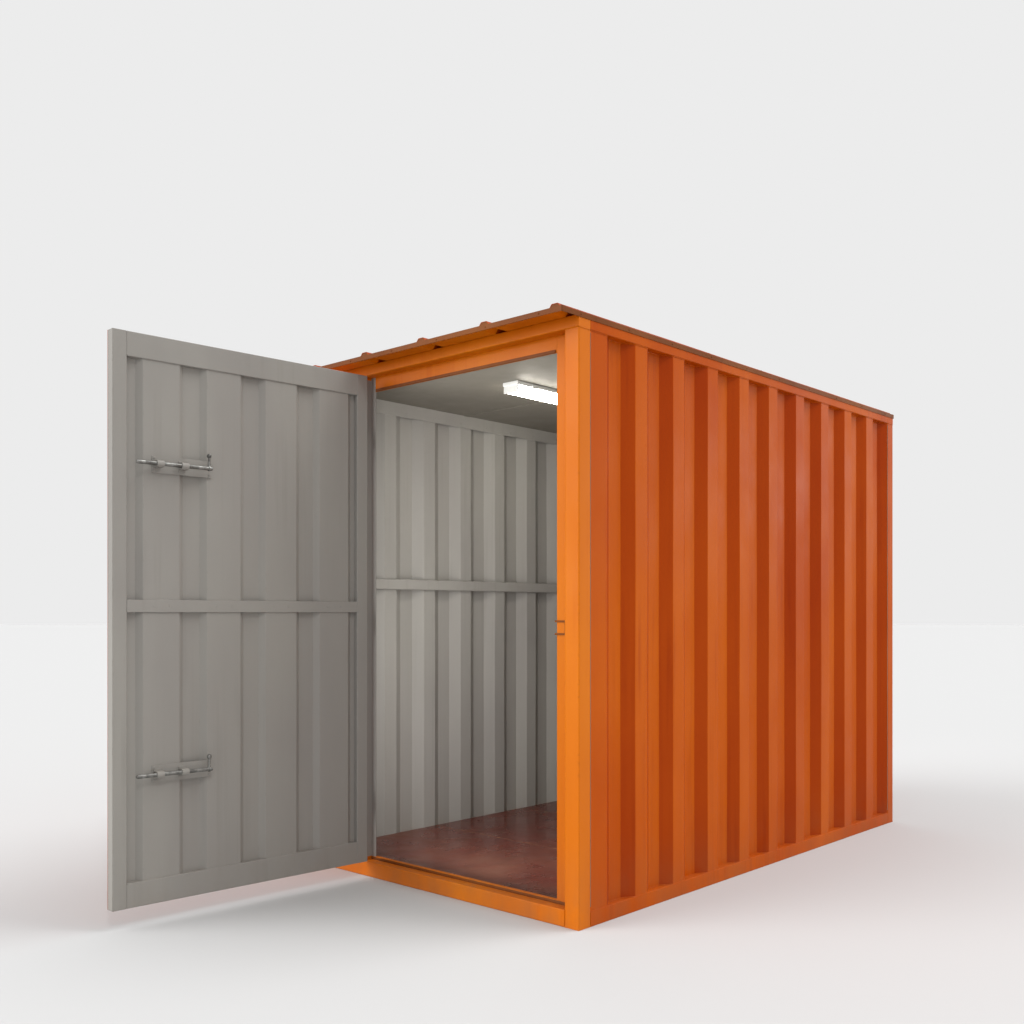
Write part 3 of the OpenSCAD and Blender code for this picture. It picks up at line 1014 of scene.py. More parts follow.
@dataclass
class BaseFrame:
    """Base rails, sills and floor joists, which the cabin stands on."""

    lip: float = 0.004
    tube_radius: float = 0.005
    sill_rise: float = 0.010
    joist_w: float = 0.060
    bead_out: float = 0.0005

    def rails(self) -> None:
        """Make the two folded base rails."""
        for side, sign in (("right", 1), ("left", -1)):
            low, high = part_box(f"base_rail_{side}")
            out, back = (high.x, low.x) if sign > 0 else (low.x, high.x)
            t = self.lip
            section = rounded([(back, low.z), (out, low.z), (out, high.z), (back, high.z),
                               (back, high.z - t), (out - sign * t, high.z - t),
                               (out - sign * t, low.z + t), (back, low.z + t)], 0.003, 2)
            rail = Blank().drawn(section, Along.Y, low.y, high.y, 12, bend_marks(section))
            bead_x = out - sign * t
            rail.weld([(bead_x, low.y, high.z), (bead_x, high.y, high.z)], 0.002, 0.012)
            rail.made(f"base_rail_{side}_fold", Coat.ORANGE, nodes=[f"base_rail_{side}"])

    def sills(self) -> None:
        """Make the front sill with its raised edge and its seal, and the rear sill."""
        low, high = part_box("front_sill")
        door_low, door_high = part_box("door_stop_left")[0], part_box("door_stop_right")[1]
        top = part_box("floor_boards")[0].z + self.sill_rise
        sill = Blank().tube(low, (high.x, high.y, top), Along.X, self.tube_radius)
        sill.block((door_low.x, door_low.y, top - 0.002), (door_high.x, high.y, high.z), 0.0025)
        bead_y = low.y - self.bead_out
        for x in (low.x, high.x):
            sill.weld([(x, bead_y, 0.004), (x, bead_y, top)])
        sill.made("front_sill_tube", Coat.LIT_FRONT, nodes=["front_sill"])
        seal = Blank().block((door_low.x + SEAL_END, door_low.y - SEAL_T, high.z - SEAL_H),
                             (door_high.x - SEAL_END, door_low.y, high.z - 0.002), 0.002)
        seal.made("door_seal_sill", Coat.TRIM)
        low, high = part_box("rear_sill")
        rear = Blank().tube(low, high, Along.X, self.tube_radius)
        bead_y = high.y + self.bead_out
        for x in (low.x, high.x):
            rear.weld([(x, bead_y, 0.004), (x, bead_y, high.z)])
        rear.made("rear_sill_tube", Coat.ORANGE, nodes=["rear_sill"])

    def joists(self) -> None:
        """Make the three joists under the floor."""
        low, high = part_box("floor_joists")
        half = self.joist_w / 2
        joists = Blank()
        for y in (low.y + half, 0.0, high.y - half):
            joists.tube((low.x, y - half, low.z), (high.x, y + half, high.z), Along.X, self.tube_radius)
            for x in (low.x, high.x):
                joists.weld([(x, y - half, high.z - 0.003), (x, y - half, 0.006)], 0.0025)
        joists.made("floor_joists_tubes", Coat.PRIMER, nodes=["floor_joists"])

    def build(self) -> None:
        """Make the whole base."""
        self.rails()
        self.sills()
        self.joists()


@dataclass
class Floor:
    """Film-faced ply boards, screwed down across the joists."""

    boards: int = 4
    gap: float = 0.0022
    screw_pitch: float = 0.30
    screw_edge: float = 0.03
    screw_end: float = 0.06

    def build(self) -> None:
        """Make the boards and their screws."""
        low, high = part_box("floor_boards")
        step = (high.y - low.y) / self.boards
        deck, screws = Blank(), Blank()
        for i in range(self.boards):
            a, b = low.y + i * step + self.gap / 2, low.y + (i + 1) * step - self.gap / 2
            deck.block((low.x, a, low.z), (high.x, b, high.z), 0.0012)
            for y in (a + self.screw_edge, b - self.screw_edge):
                first, last = low.x + self.screw_end, high.x - self.screw_end
                for x in evenly(first, last, int((last - first) / self.screw_pitch) + 1):
                    screws.turned(FLOOR_SCREW, (x, y, high.z), (0, 0, 1), 12)
        deck.made("floor_boards_ply", Coat.PLY, nodes=["floor_boards"])
        screws.made("floor_screws", Coat.ZINC)


@dataclass
class CornerFrame:
    """Corner posts, top rails and headers, welded together."""

    radius: float = 0.007
    foot_t: float = 0.006
    bead_out: float = 0.0006
    bead_end: float = 0.006
    bead_runs: tuple[tuple[float, float], ...] = ((0.004, 0.060), (0.085, 2.385))
    coat_t: float = 0.001
    coat_z: tuple[float, float] = (0.081, 2.379)
    rail_w: float = 0.075
    rail_z: float = 2.39
    flange_x: tuple[float, float] = (0.804, 0.808)
    rivets: int = 14

    def posts(self) -> None:
        """Make the four posts."""
        for y_sign in (-1, 1):
            for x_sign in (1, -1):
                self.post(x_sign, y_sign)

    def post(self, x_sign: int, y_sign: int) -> None:
        """Make one post with its foot plate, its welds and its inner coat.

        Args:
            x_sign: 1 on the right, -1 on the left.
            y_sign: 1 at the rear, -1 at the front.
        """
        node = f"{'rear' if y_sign > 0 else 'front'}_{'right' if x_sign > 0 else 'left'}_post"
        low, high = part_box(node)
        post = Blank().tube((low.x, low.y, 0.005), high, Along.Z, self.radius)
        post.block((low.x, low.y, 0.0), (high.x, high.y, self.foot_t), 0.0012)
        x_out, x_in = (high.x, low.x) if x_sign > 0 else (low.x, high.x)
        y_out, y_in = (high.y, low.y) if y_sign > 0 else (low.y, high.y)
        x, y = x_out + x_sign * self.bead_out, y_out + y_sign * self.bead_out
        post.weld([(low.x + self.bead_end, y, high.z), (high.x - self.bead_end, y, high.z)])
        post.weld([(x, low.y + self.bead_end, high.z), (x, high.y - self.bead_end, high.z)])
        x = x_out - x_sign * 0.004
        for bottom, top in self.bead_runs:
            post.weld([(x, y_in, bottom), (x, y_in, top)], 0.0024)
        post.made(f"{node}_tube", Coat.ORANGE if y_sign > 0 else Coat.LIT_FRONT, nodes=[node])
        bottom, top = self.coat_z
        ys = sorted((y_in, y_in - y_sign * self.coat_t))
        coated(f"{node}_inside_end", (low.x, ys[0], bottom), (high.x, ys[1], top))
        if y_sign > 0:
            xs = sorted((x_in, x_in - x_sign * self.coat_t))
            coated(f"{node}_inside_side", (xs[0], low.y, bottom), (xs[1], high.y, top))

    def top_rails(self) -> None:
        """Make the two top rails, each a tube with a riveted inner flange."""
        for side, sign in (("right", 1), ("left", -1)):
            node = f"top_rail_{side}"
            low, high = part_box(node)
            out = high.x if sign > 0 else low.x
            xs = sorted((out, out - sign * self.rail_w))
            rail = Blank().tube((xs[0], low.y, self.rail_z), (xs[1], high.y, high.z), Along.Y, 0.005)
            rail.made(f"{node}_tube", Coat.ORANGE, nodes=[node])
            inner = sign * self.flange_x[0]
            xs = sorted((inner, sign * self.flange_x[1]))
            flange = Blank().block((xs[0], low.y, low.z), (xs[1], high.y, self.rail_z), 0.0012)
            for y in evenly(low.y + 0.08, high.y - 0.08, self.rivets):
                flange.turned(FLANGE_RIVET, (inner, y, low.z + 0.022), (-sign, 0, 0), 14)
            flange.made(f"{node}_flange", Coat.GREY)

    def headers(self) -> None:
        """Make the front and rear headers."""
        for node, coat in (("front_header", Coat.LIT_FRONT), ("rear_header", Coat.ORANGE)):
            low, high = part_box(node)
            Blank().tube(low, high, Along.X, 0.006).made(f"{node}_tube", coat, nodes=[node])

    def build(self) -> None:
        """Make the whole upper frame."""
        self.posts()
        self.top_rails()
        self.headers()


@dataclass
class Walls:
    """Fluted sheets, each with an outer and an inner coat, and their stiffeners."""

    flutes: Flutes = Flutes(pitch=0.282, flat=0.080, slope=0.058, depth=0.036)
    side_first: float = 0.210
    side_count: int = 10
    rear_count: int = 5
    rows: int = 22
    layer: float = 0.0009
    layer_gap: float = 0.0011
    waver: float = 0.0022
    channel_d: float = 0.015
    spots: int = 18

    def pair(self, node: str, line: Line, place: Callable[[float, float, float], Vector],
             low: float, high: float, seed: float, outside: Coat = Coat.ORANGE) -> None:
        """Make one wall's outer and inner layers.

        Args:
            node: The wall's node.
            line: Its section.
            place: Turns (along, in, up) into a point.
            low, high: Its lower and upper ends.
            seed: Makes its unevenness its own.
            outside: The finish of the outer layer.
        """
        outer = Blank().sheet(line, self.layer, place, low, high, self.rows, self.waver, seed)
        for z in (low + 0.001, high - 0.001):
            outer.weld([place(u, v - 0.0004, z) for u, v in line], 0.0022, 0.010)
        outer.made(f"{node}_outside", outside, nodes=[node])
        inner = [(u, v + self.layer_gap) for u, v in line]
        Blank().sheet(inner, self.layer, place, low, high, self.rows, self.waver, seed).made(
            f"{node}_inside", Coat.GREY, nodes=[node])

    def sides(self) -> None:
        """Make the two side walls."""
        for side, sign in (("right", 1), ("left", -1)):
            low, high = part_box(f"{side}_wall")
            out = high.x if sign > 0 else low.x
            line = self.flutes.line(high.y - low.y, self.side_first, self.side_count)

            def place(u: float, v: float, up: float, out: float = out, sign: int = sign,
                      end: float = low.y if sign > 0 else high.y) -> Vector:
                """Lay a side wall's point on the cabin, the left one turned end for end."""
                return Vector((out - sign * v, end + sign * u, up))

            self.pair(f"{side}_wall", line, place, low.z, high.z, 3.0 * sign)

    def rear(self) -> None:
        """Make the rear wall."""
        low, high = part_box("rear_wall")
        width = high.x - low.x
        first = (width - (self.rear_count - 1) * self.flutes.pitch) / 2
        line = self.flutes.line(width, first, self.rear_count)
        self.pair("rear_wall", line, lambda u, v, up: Vector((high.x - u, high.y - v, up)),
                  low.z, high.z, 9.0)

    def front(self) -> None:
        """Make the fixed panel beside the door."""
        low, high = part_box("front_panel")
        line = self.flutes.line(high.x - low.x, (high.x - low.x) / 2, 1)
        self.pair("front_panel", line, lambda u, v, up: Vector((low.x + u, low.y + v, up)),
                  low.z, high.z, 14.0, Coat.LIT_FRONT)

    def stiffeners(self) -> None:
        """Make the channels across the walls inside, with their spot welds."""
        low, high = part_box("wall_stiffeners")
        y0, y1 = low.y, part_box("right_wall")[1].y
        z = (low.z + high.z) / 2
        bars = Blank()
        for sign in (1, -1):
            inner = sign * (high.x - self.channel_d)
            xs = sorted((sign * high.x, inner))
            bars.block((xs[0], y0, low.z), (xs[1], y1, high.z), 0.004, 3)
            for k, y in enumerate(evenly(y0 + 0.07, y1 - 0.07, self.spots)):
                bars.turned(CHANNEL_SPOT, (inner, y, z + 0.012 * (-1) ** k), (-sign, 0, 0), 12)
        rear_low, rear_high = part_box("rear_wall")
        bars.block((rear_low.x, high.y - self.channel_d, low.z), (rear_high.x, high.y, high.z), 0.004, 3)
        bars.made("wall_stiffeners_channels", Coat.GREY, nodes=["wall_stiffeners"])

    def build(self) -> None:
        """Make every wall."""
        self.sides()
        self.rear()
        self.front()
        self.stiffeners()


@dataclass
class Roof:
    """The ribbed roof sheet with its screws, rib closures and edge trim."""

    ribs: Flutes = Flutes(pitch=0.385, flat=0.030, slope=0.018, depth=-0.022, bend=0.004)
    first: float = 0.124
    count: int = 5
    trim: float = 0.003
    closure_foot: float = 0.031
    closure_top: float = 0.0145
    closure_z: tuple[float, float] = (2.4425, 2.4610)
    rivet_end: float = 0.12
    cap: float = 0.030
    cap_t: float = 0.0008

    def sheet(self) -> None:
        """Make the roof sheet."""
        low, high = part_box("roof_sheet")
        line = self.ribs.line(high.x - low.x, self.first, self.count)

        def place(u: float, v: float, along: float) -> Vector:
            """Lay a roof point on the cabin."""
            return Vector((low.x + u, along, low.z + 0.0005 - v))

        roof = Blank().sheet(line, -0.0016, place, low.y, high.y, 26, 0.0016, 21.0)
        roof.made("roof_sheet_ribbed", Coat.ORANGE, nodes=["roof_sheet"])
        # Painted light: the overhang's underside is a thin extra sheet in the paler front orange, so that the
        # soffit reads bright.
        under = [(u, v + 0.0022) for u, v in line]
        Blank().sheet(under, 0.0005, place, low.y + 0.004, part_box("front_header")[0].y - 0.001, 2).made(
            "roof_canopy_underside", Coat.LIT_FRONT)
        ribs = [low.x + self.first + i * self.ribs.pitch for i in range(self.count)]
        screws = Blank()
        for x in ribs:
            for y in evenly(low.y + 0.14, high.y - 0.06, 7):
                screws.screw((x, y, high.z - 0.0005), (0, 0, 1))
        screws.made("roof_screws", Coat.ZINC)
        ends = Blank()
        (bottom, top), foot, crest = self.closure_z, self.closure_foot, self.closure_top
        for x in ribs:
            section = rounded([(x - foot, bottom), (x + foot, bottom), (x + crest, top), (x - crest, top)],
                              0.002, 2)
            for a, b in ((low.y + 0.001, low.y + 0.016), (high.y - 0.016, high.y - 0.001)):
                ends.drawn(section, Along.Y, a, b)
        ends.made("roof_rib_closures", Coat.TRIM)

    def edge(self) -> None:
        """Make the trim around the roof's edge, with its rivets."""
        low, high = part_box("roof_edge_trim")
        t, z = self.trim, (low.z + high.z) / 2
        trim, rivets = Blank(), Blank()
        for y, sign in ((low.y, -1), (high.y, 1)):
            ys = sorted((y, y - sign * t))
            trim.block((low.x + t, ys[0], low.z), (high.x - t, ys[1], high.z), 0.0011)
            for x in evenly(low.x + self.rivet_end, high.x - self.rivet_end, 6):
                rivets.turned(TRIM_RIVET, (x, y, z), (0, sign, 0), 12)
        for x, sign in ((low.x, -1), (high.x, 1)):
            xs = sorted((x, x - sign * t))
            trim.block((xs[0], low.y + t, low.z), (xs[1], high.y - t, high.z), 0.0011)
            for y in evenly(low.y + self.rivet_end, high.y - self.rivet_end, 10):
                rivets.turned(TRIM_RIVET, (x, y, z), (sign, 0, 0), 12)
            for y, y_sign in ((low.y, -1), (high.y, 1)):
                for x_long, y_long in ((self.cap, self.cap_t), (self.cap_t, self.cap)):
                    xs = sorted((x + sign * self.cap_t, x - sign * x_long))
                    ys = sorted((y + y_sign * self.cap_t, y - y_sign * y_long))
                    trim.block((xs[0], ys[0], low.z - 0.0006), (xs[1], ys[1], high.z + 0.0006), 0.0006, 1)
        trim.made("roof_edge_trim_plates", Coat.TRIM, nodes=["roof_edge_trim"])
        rivets.made("roof_trim_rivets", Coat.TRIM)

    def build(self) -> None:
        """Make the whole roof."""
        self.sheet()
        self.edge()


@dataclass
class Ceiling:
    """Painted boards with cover strips, and the lamp under them."""

    boards: int = 3
    strip: float = 0.040
    lamp_gap: float = 0.01
    cap_t: float = 0.006
    clip_end: float = 0.12

    def panels(self) -> None:
        """Make the boards and cover strips."""
        low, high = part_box("ceiling_panel")
        step = (high.y - low.y) / self.boards
        boards, strips = Blank(), Blank()
        for i in range(self.boards):
            boards.block((low.x, low.y + i * step + 0.001, low.z),
                         (high.x, low.y + (i + 1) * step - 0.001, high.z), 0.0015)
        lamp_low, lamp_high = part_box("lamp_body")
        left, right = low.x + 0.002, high.x - 0.002
        for i in range(1, self.boards):
            y = low.y + i * step
            runs = [(left, right)]
            if lamp_low.y - 0.03 < y < lamp_high.y + 0.03:
                runs = [(left, lamp_low.x - self.lamp_gap), (lamp_high.x + self.lamp_gap, right)]
            for a, b in runs:
                strips.block((a, y - self.strip / 2, low.z - 0.003),
                             (b, y + self.strip / 2, low.z + 0.0005), 0.001)
        boards.made("ceiling_boards", Coat.CEILING, nodes=["ceiling_panel"])
        strips.made("ceiling_strips", Coat.CEILING)

    def lamp(self) -> None:
        """Make the lamp's housing with its end caps, and the lit diffuser."""
        low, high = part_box("lamp_body")
        body = Blank().block(low, high, 0.004, 3)
        lens_low, lens_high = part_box("lamp_lens")
        for a, b in ((lens_low.y, lens_low.y + self.cap_t), (lens_high.y - self.cap_t, lens_high.y)):
            body.block((lens_low.x - 0.002, a, lens_low.z + 0.001),
                       (lens_high.x + 0.002, b, low.z + 0.002), 0.006, 3)
        for y in (low.y + self.clip_end, high.y - self.clip_end):
            for x in (low.x, high.x):
                body.block((x - 0.003, y - 0.012, low.z - 0.006), (x + 0.003, y + 0.012, high.z - 0.004),
                           0.001)
        body.made("lamp_housing_tray", Coat.HOUSING, nodes=["lamp_body"])
        wide, down = (lens_high.x - lens_low.x) / 2, lens_high.z - lens_low.z
        shoulder, flat = lens_high.z - 0.4 * down, 0.62 * wide
        bow = rounded([(-wide, lens_high.z), (-wide, shoulder), (-flat, lens_low.z),
                       (flat, lens_low.z), (wide, shoulder), (wide, lens_high.z)], 0.012, 5)
        Blank().drawn(bow, Along.Y, lens_low.y + 0.005, lens_high.y - 0.005, 30).made(
            "lamp_diffuser_bow", Coat.DIFFUSER, nodes=["lamp_lens"])

    def build(self) -> None:
        """Make the ceiling and the lamp."""
        self.panels()
        self.lamp()


@dataclass
class Doorway:
    """The jamb, the stops that the door closes against, and the lock's keeper."""

    plate: float = 0.005
    bend: float = 0.0015
    reveal_w: float = 0.055
    rim: float = 0.008

    def jamb(self) -> None:
        """Make the left jamb with its inner coat."""
        low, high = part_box("door_jamb")
        post = Blank().tube(low, high, Along.Z, 0.006)
        for z in (low.z + 0.001, high.z - 0.001):
            post.weld([(low.x + 0.006, low.y - 0.0005, z), (high.x - 0.006, low.y - 0.0005, z)])
        post.made("door_jamb_tube", Coat.LIT_FRONT, nodes=["door_jamb"])
        bottom, top = low.z + 0.015, high.z - 0.012
        coated("door_jamb_inside", (low.x, high.y, bottom), (high.x, high.y + 0.001, top))
        coated("door_jamb_reveal", (high.x, high.y - self.reveal_w, bottom), (high.x + 0.001, high.y, top))

    def stops(self) -> None:
        """Make the two upright stops, and the one under the header with its seal."""
        t = self.plate
        for side, sign in (("right", 1), ("left", -1)):
            low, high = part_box(f"door_stop_{side}")
            out, free = (high.x, low.x) if sign > 0 else (low.x, high.x)
            fold = rounded([(out, low.y), (out, high.y), (out - sign * t, high.y),
                            (out - sign * t, low.y + t), (free, low.y + t), (free, low.y)], self.bend, 2)
            stop = Blank().drawn(fold, Along.Z, low.z, high.z, 12, bend_marks(fold))
            bead_x = out - sign * 0.001
            stop.weld([(bead_x, low.y, low.z + 0.002), (bead_x, low.y, high.z - 0.002)], 0.0022, 0.009)
            coat = Coat.LIT_FRONT if side == "right" else Coat.GREY
            stop.made(f"door_stop_{side}_angle", coat, nodes=[f"door_stop_{side}"])
        low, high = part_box("door_stop_head")
        fold = rounded([(low.y, low.z), (low.y, high.z), (high.y, high.z), (high.y, high.z - t),
                        (low.y + t, high.z - t), (low.y + t, low.z)], self.bend, 2)
        head = Blank().drawn(fold, Along.X, low.x, high.x, 8, bend_marks(fold))
        head.weld([(low.x, low.y, high.z - 0.001), (high.x, low.y, high.z - 0.001)], 0.0022, 0.009)
        head.made("door_stop_head_angle", Coat.LIT_FRONT, nodes=["door_stop_head"])
        seal = Blank().block((low.x + SEAL_END, low.y - SEAL_T, low.z),
                             (high.x - SEAL_END, low.y, low.z + SEAL_H), 0.002)
        seal.made("door_seal_head", Coat.TRIM)

    def keeper(self) -> None:
        """Make the lock's keeper, a U open towards the doorway, with its screws."""
        low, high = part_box("lock_keeper")
        rim = self.rim
        fold = rounded([(low.x, low.z), (high.x, low.z), (high.x, high.z), (low.x, high.z),
                        (low.x, high.z - rim), (high.x - rim, high.z - rim),
                        (high.x - rim, low.z + rim), (low.x, low.z + rim)], self.bend, 2)
        keeper = Blank().drawn(fold, Along.Y, low.y, high.y)
        for z in (low.z + rim / 2, high.z - rim / 2):
            keeper.turned(KEEPER_SCREW, (high.x - 2 * rim, low.y, z), (0, -1, 0), 12)
        keeper.made("lock_keeper_plate", Coat.TRIM, nodes=["lock_keeper"])

    def build(self) -> None:
        """Make everything around the doorway."""
        self.jamb()
        self.stops()
        self.keeper()


class DoorFrame:
    """Knows where door pieces lie with the door closed, and swings them open."""

    def __init__(self) -> None:
        """Take the hinge axis and the opening from the door's joint."""
        joint = next(j for j in frame["joints"] if j["name"] == "door_hinge")
        self.axis = Vector(joint["pos_m"])
        self.open = math.radians(joint["range_deg"][1])
        there, back = Matrix.Translation(self.axis), Matrix.Translation(-self.axis)
        self.swing = there @ Matrix.Rotation(-self.open, 4, "Z") @ back
        self.close = self.swing.inverted()

    def box(self, node: str) -> tuple[Vector, Vector]:
        """Return a door node's lowest and highest corners with the door closed.

        Args:
            node: The node's name.

        Returns:
            The two corners.
        """
        points = [self.close @ v.co for v in frame["nodes"][node].data.vertices]
        return (Vector([min(p[i] for p in points) for i in range(3)]),
                Vector([max(p[i] for p in points) for i in range(3)]))


@dataclass
class DoorLeaf:
    """The door: a welded tube frame with a fluted skin, a middle bar and a pull handle."""

    door: DoorFrame
    flutes: Flutes = Flutes(pitch=0.280, flat=0.156, slope=0.024, depth=0.020, bend=0.006)
    first_from_edge: float = 0.207
    flute_count: int = 4
    skin: float = 0.0014
    coat_t: float = 0.0008
    layer: float = 0.0009
    layer_gap: float = 0.0011
    grip_r: float = 0.007
    grip_half: float = 0.075
    grip_bend: float = 0.016

    def flute_places(self) -> list[float]:
        """Return the X of each flute's centre with the door closed, from the free edge on."""
        edge = self.door.box("door_free_stile")[1].x
        return [edge - self.first_from_edge - i * self.flutes.pitch for i in range(self.flute_count)]

    def frame_tubes(self) -> None:
        """Make the stiles and rails, grey inside and orange outside."""
        outside = Blank()
        for node, along in (("door_free_stile", Along.Z), ("door_hinge_stile", Along.Z),
                            ("door_top_rail", Along.X), ("door_bottom_rail", Along.X)):
            low, high = self.door.box(node)
            tube = Blank().tube((low.x, low.y + self.skin, low.z), high, along, 0.004)
            if along is Along.X:
                for x in (low.x, high.x):
                    tube.weld([(x, high.y - 0.0006, low.z + 0.004),
                               (x, high.y - 0.0006, high.z - 0.004)], 0.0018)
            tube.made(f"{node}_tube", Coat.GREY, Body.DOOR, [node], self.door.swing)
            outside.block(low, (high.x, low.y + self.skin, high.z), 0.0006, 1)
        self.reveal(outside)
        outside.made("door_frame_outside", Coat.ORANGE, Body.DOOR, swing=self.door.swing)

    def reveal(self, outside: Blank) -> None:
        """Add the orange coat on the frame's inner faces, in front of the skin.

        Args:
            outside: The blank that the coat is added to.
        """
        front, back = self.door.box("door_free_stile")[0].y, self.door.box("door_skin")[0].y
        left, right = self.door.box("door_hinge_stile")[1].x, self.door.box("door_free_stile")[0].x
        bottom, top = self.door.box("door_bottom_rail")[1].z, self.door.box("door_top_rail")[0].z
        t = self.coat_t
        for low, high in (((left, bottom), (left + t, top)), ((right - t, bottom), (right, top)),
                          ((left, bottom), (right, bottom + t)), ((left, top - t), (right, top))):
            outside.block((low[0], front + 0.001, low[1]), (high[0], back, high[1]), 0.0003, 1)
        half, deep = self.flutes.flat / 2, back + self.flutes.depth - 0.001
        for x in self.flute_places():
            for z in (bottom, top - t):
                outside.block((x - half, back, z), (x + half, deep, z + t), 0.0003, 1)

    def skin_sheet(self) -> None:
        """Make the fluted skin's outer and inner layers, with their welds."""
        low, high = self.door.box("door_skin")
        line = self.flutes.line(high.x - low.x, self.flute_places()[-1] - low.x, self.flute_count)

        def place(u: float, v: float, up: float) -> Vector:
            """Lay a door skin's point on the closed door."""
            return Vector((low.x + u, low.y + v, up))

        outer = Blank().sheet(line, self.layer, place, low.z, high.z, 20, 0.0016, 33.0)
        outer.made("door_skin_outside", Coat.ORANGE, Body.DOOR, ["door_skin"], self.door.swing)
        inner_line = [(u, v + self.layer_gap) for u, v in line]
        inner = Blank().sheet(inner_line, self.layer, place, low.z, high.z, 20, 0.0016, 33.0)
        for z in (low.z + 0.001, high.z - 0.001):
            inner.weld([place(u, v + 0.0012, z) for u, v in inner_line], 0.0018, 0.010)
        inner.made("door_skin_inside", Coat.GREY, Body.DOOR, ["door_skin"], self.door.swing)

    def middle_bar(self) -> None:
        """Make the flat bar across the inside, welded at each flute."""
        low, high = self.door.box("door_mid_bar")
        bar = Blank().block(low, high, 0.0012)
        y, middle = high.y - 0.003, (low.z + high.z) / 2
        for x in self.flute_places():
            for z in (low.z, high.z):
                bar.weld([(x - 0.03, y, z), (x + 0.03, y, z)], 0.0022)
            for dx in (-0.035, 0.035):
                bar.turned(BAR_SPOT, (x + dx, high.y, middle), (0, 1, 0), 12)
        bar.made("door_mid_bar_flat", Coat.GREY, Body.DOOR, ["door_mid_bar"], self.door.swing)

    def handle(self) -> None:
        """Make the pull handle: a bent grip with collars on a long screwed plate."""
        low, high = self.door.box("door_handle")
        x, z = (low.x + high.x) / 2, (low.z + high.z) / 2
        face = high.y - 0.004
        outline = rounded(rectangle(low.x, low.z, high.x, high.z), 0.012, 6)
        plate = Blank().drawn(outline, Along.Y, face, high.y)
        for dz in (-0.1, 0.1):
            plate.turned(HANDLE_SCREW, (x, face, z + dz), (0, -1, 0), 16)
        plate.made("door_handle_plate", Coat.ZINC, Body.DOOR, ["door_handle"], self.door.swing)
        y, half, bend = low.y + self.grip_r, self.grip_half, self.grip_bend
        angles = evenly(0.0, math.pi / 2, 9)
        path = [Vector((x, face, z - half))]
        path += [Vector((x, y + bend - bend * math.sin(a), z - half + bend - bend * math.cos(a)))
                 for a in angles]
        path += [Vector((x, y + bend - bend * math.cos(a), z + half - bend + bend * math.sin(a)))
                 for a in angles]
        path += [Vector((x, face, z + half))]
        grip = Blank().pipe(path, self.grip_r, 20)
        for dz in (-half, half):
            grip.turned(GRIP_COLLAR, (x, face, z + dz), (0, -1, 0), 20)
        grip.made("door_handle_grip", Coat.ZINC, Body.DOOR, swing=self.door.swing)

    def build(self) -> None:
        """Make the whole leaf."""
        self.frame_tubes()
        self.skin_sheet()
        self.middle_bar()
        self.handle()


@dataclass
class Hinges:
    """Three lift-off hinges: pins on the jamb, barrels on the leaf."""

    door: DoorFrame
    flap: float = 0.040
    plate: float = 0.004
    barrel: float = 0.009
    pin: float = 0.005
    half: float = 0.045
    front: float = 0.013
    play: float = 0.0006
    lift: float = 0.001

    def heights(self) -> list[float]:
        """Return the height of the middle of each hinge."""
        low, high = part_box("hinge_pins")
        bottom, top = low.z + self.half, high.z - self.half
        return [bottom, (bottom + top) / 2, top]

    def flap_plate(self, z: float, sign: int) -> Blank:
        """Make one flap with the block that joins it to its barrel.

        Args:
            z: Its lower end.
            sign: 1 on the leaf's side, -1 on the jamb's.

        Returns:
            The flap.
        """
        x, y = self.door.axis.x, self.door.axis.y
        front = y + self.front
        xs = sorted((x, x + sign * self.flap))
        outline = rounded(rectangle(xs[0], z, xs[1], z + self.half), 0.005, 3)
        made = Blank().drawn(outline, Along.Y, front - self.plate, front)
        xs = sorted((x, x + sign * self.barrel * 0.9))
        made.block((xs[0], y + 0.002, z + 0.001), (xs[1], front, z + self.half - 0.001), 0.002)
        start, end, bead_y, bottom = x + sign * 0.012, x + sign * self.flap, front - 0.001, z - 0.0006
        made.weld([(start, bead_y, bottom), (end, bead_y, bottom),
                   (end + sign * 0.0008, bead_y, z + self.half), (start, bead_y, z + self.half)], 0.0022)
        return made

    def build(self) -> None:
        """Make the pins with their flaps, and the barrels with theirs."""
        x, y = self.door.axis.x, self.door.axis.y
        pins, barrels = Blank(), Blank()
        for z in self.heights():
            pins.rod((x, y, z - self.half), (x, y, z), self.barrel)
            pins.turned([(self.pin, 0), (self.pin, self.half - 0.0012), (self.pin * 0.6, self.half)],
                        (x, y, z - self.lift), (0, 0, 1), 24)
            pins.take(self.flap_plate(z - self.half, -1))
            b, c = self.barrel, self.pin + self.play
            barrels.turned([(c, 0.0), (b - 0.001, 0.0), (b, 0.001), (b, self.half - 0.001),
                            (b - 0.001, self.half), (c, self.half)], (x, y, z + self.lift), (0, 0, 1), 28)
            barrels.take(self.flap_plate(z + self.lift, 1))
        pins.made("hinge_pins_turned", Coat.ZINC, Body.CABIN, ["hinge_pins"])
        barrels.made("hinge_barrels_turned", Coat.ZINC, Body.DOOR, ["hinge_barrels"], self.door.swing)


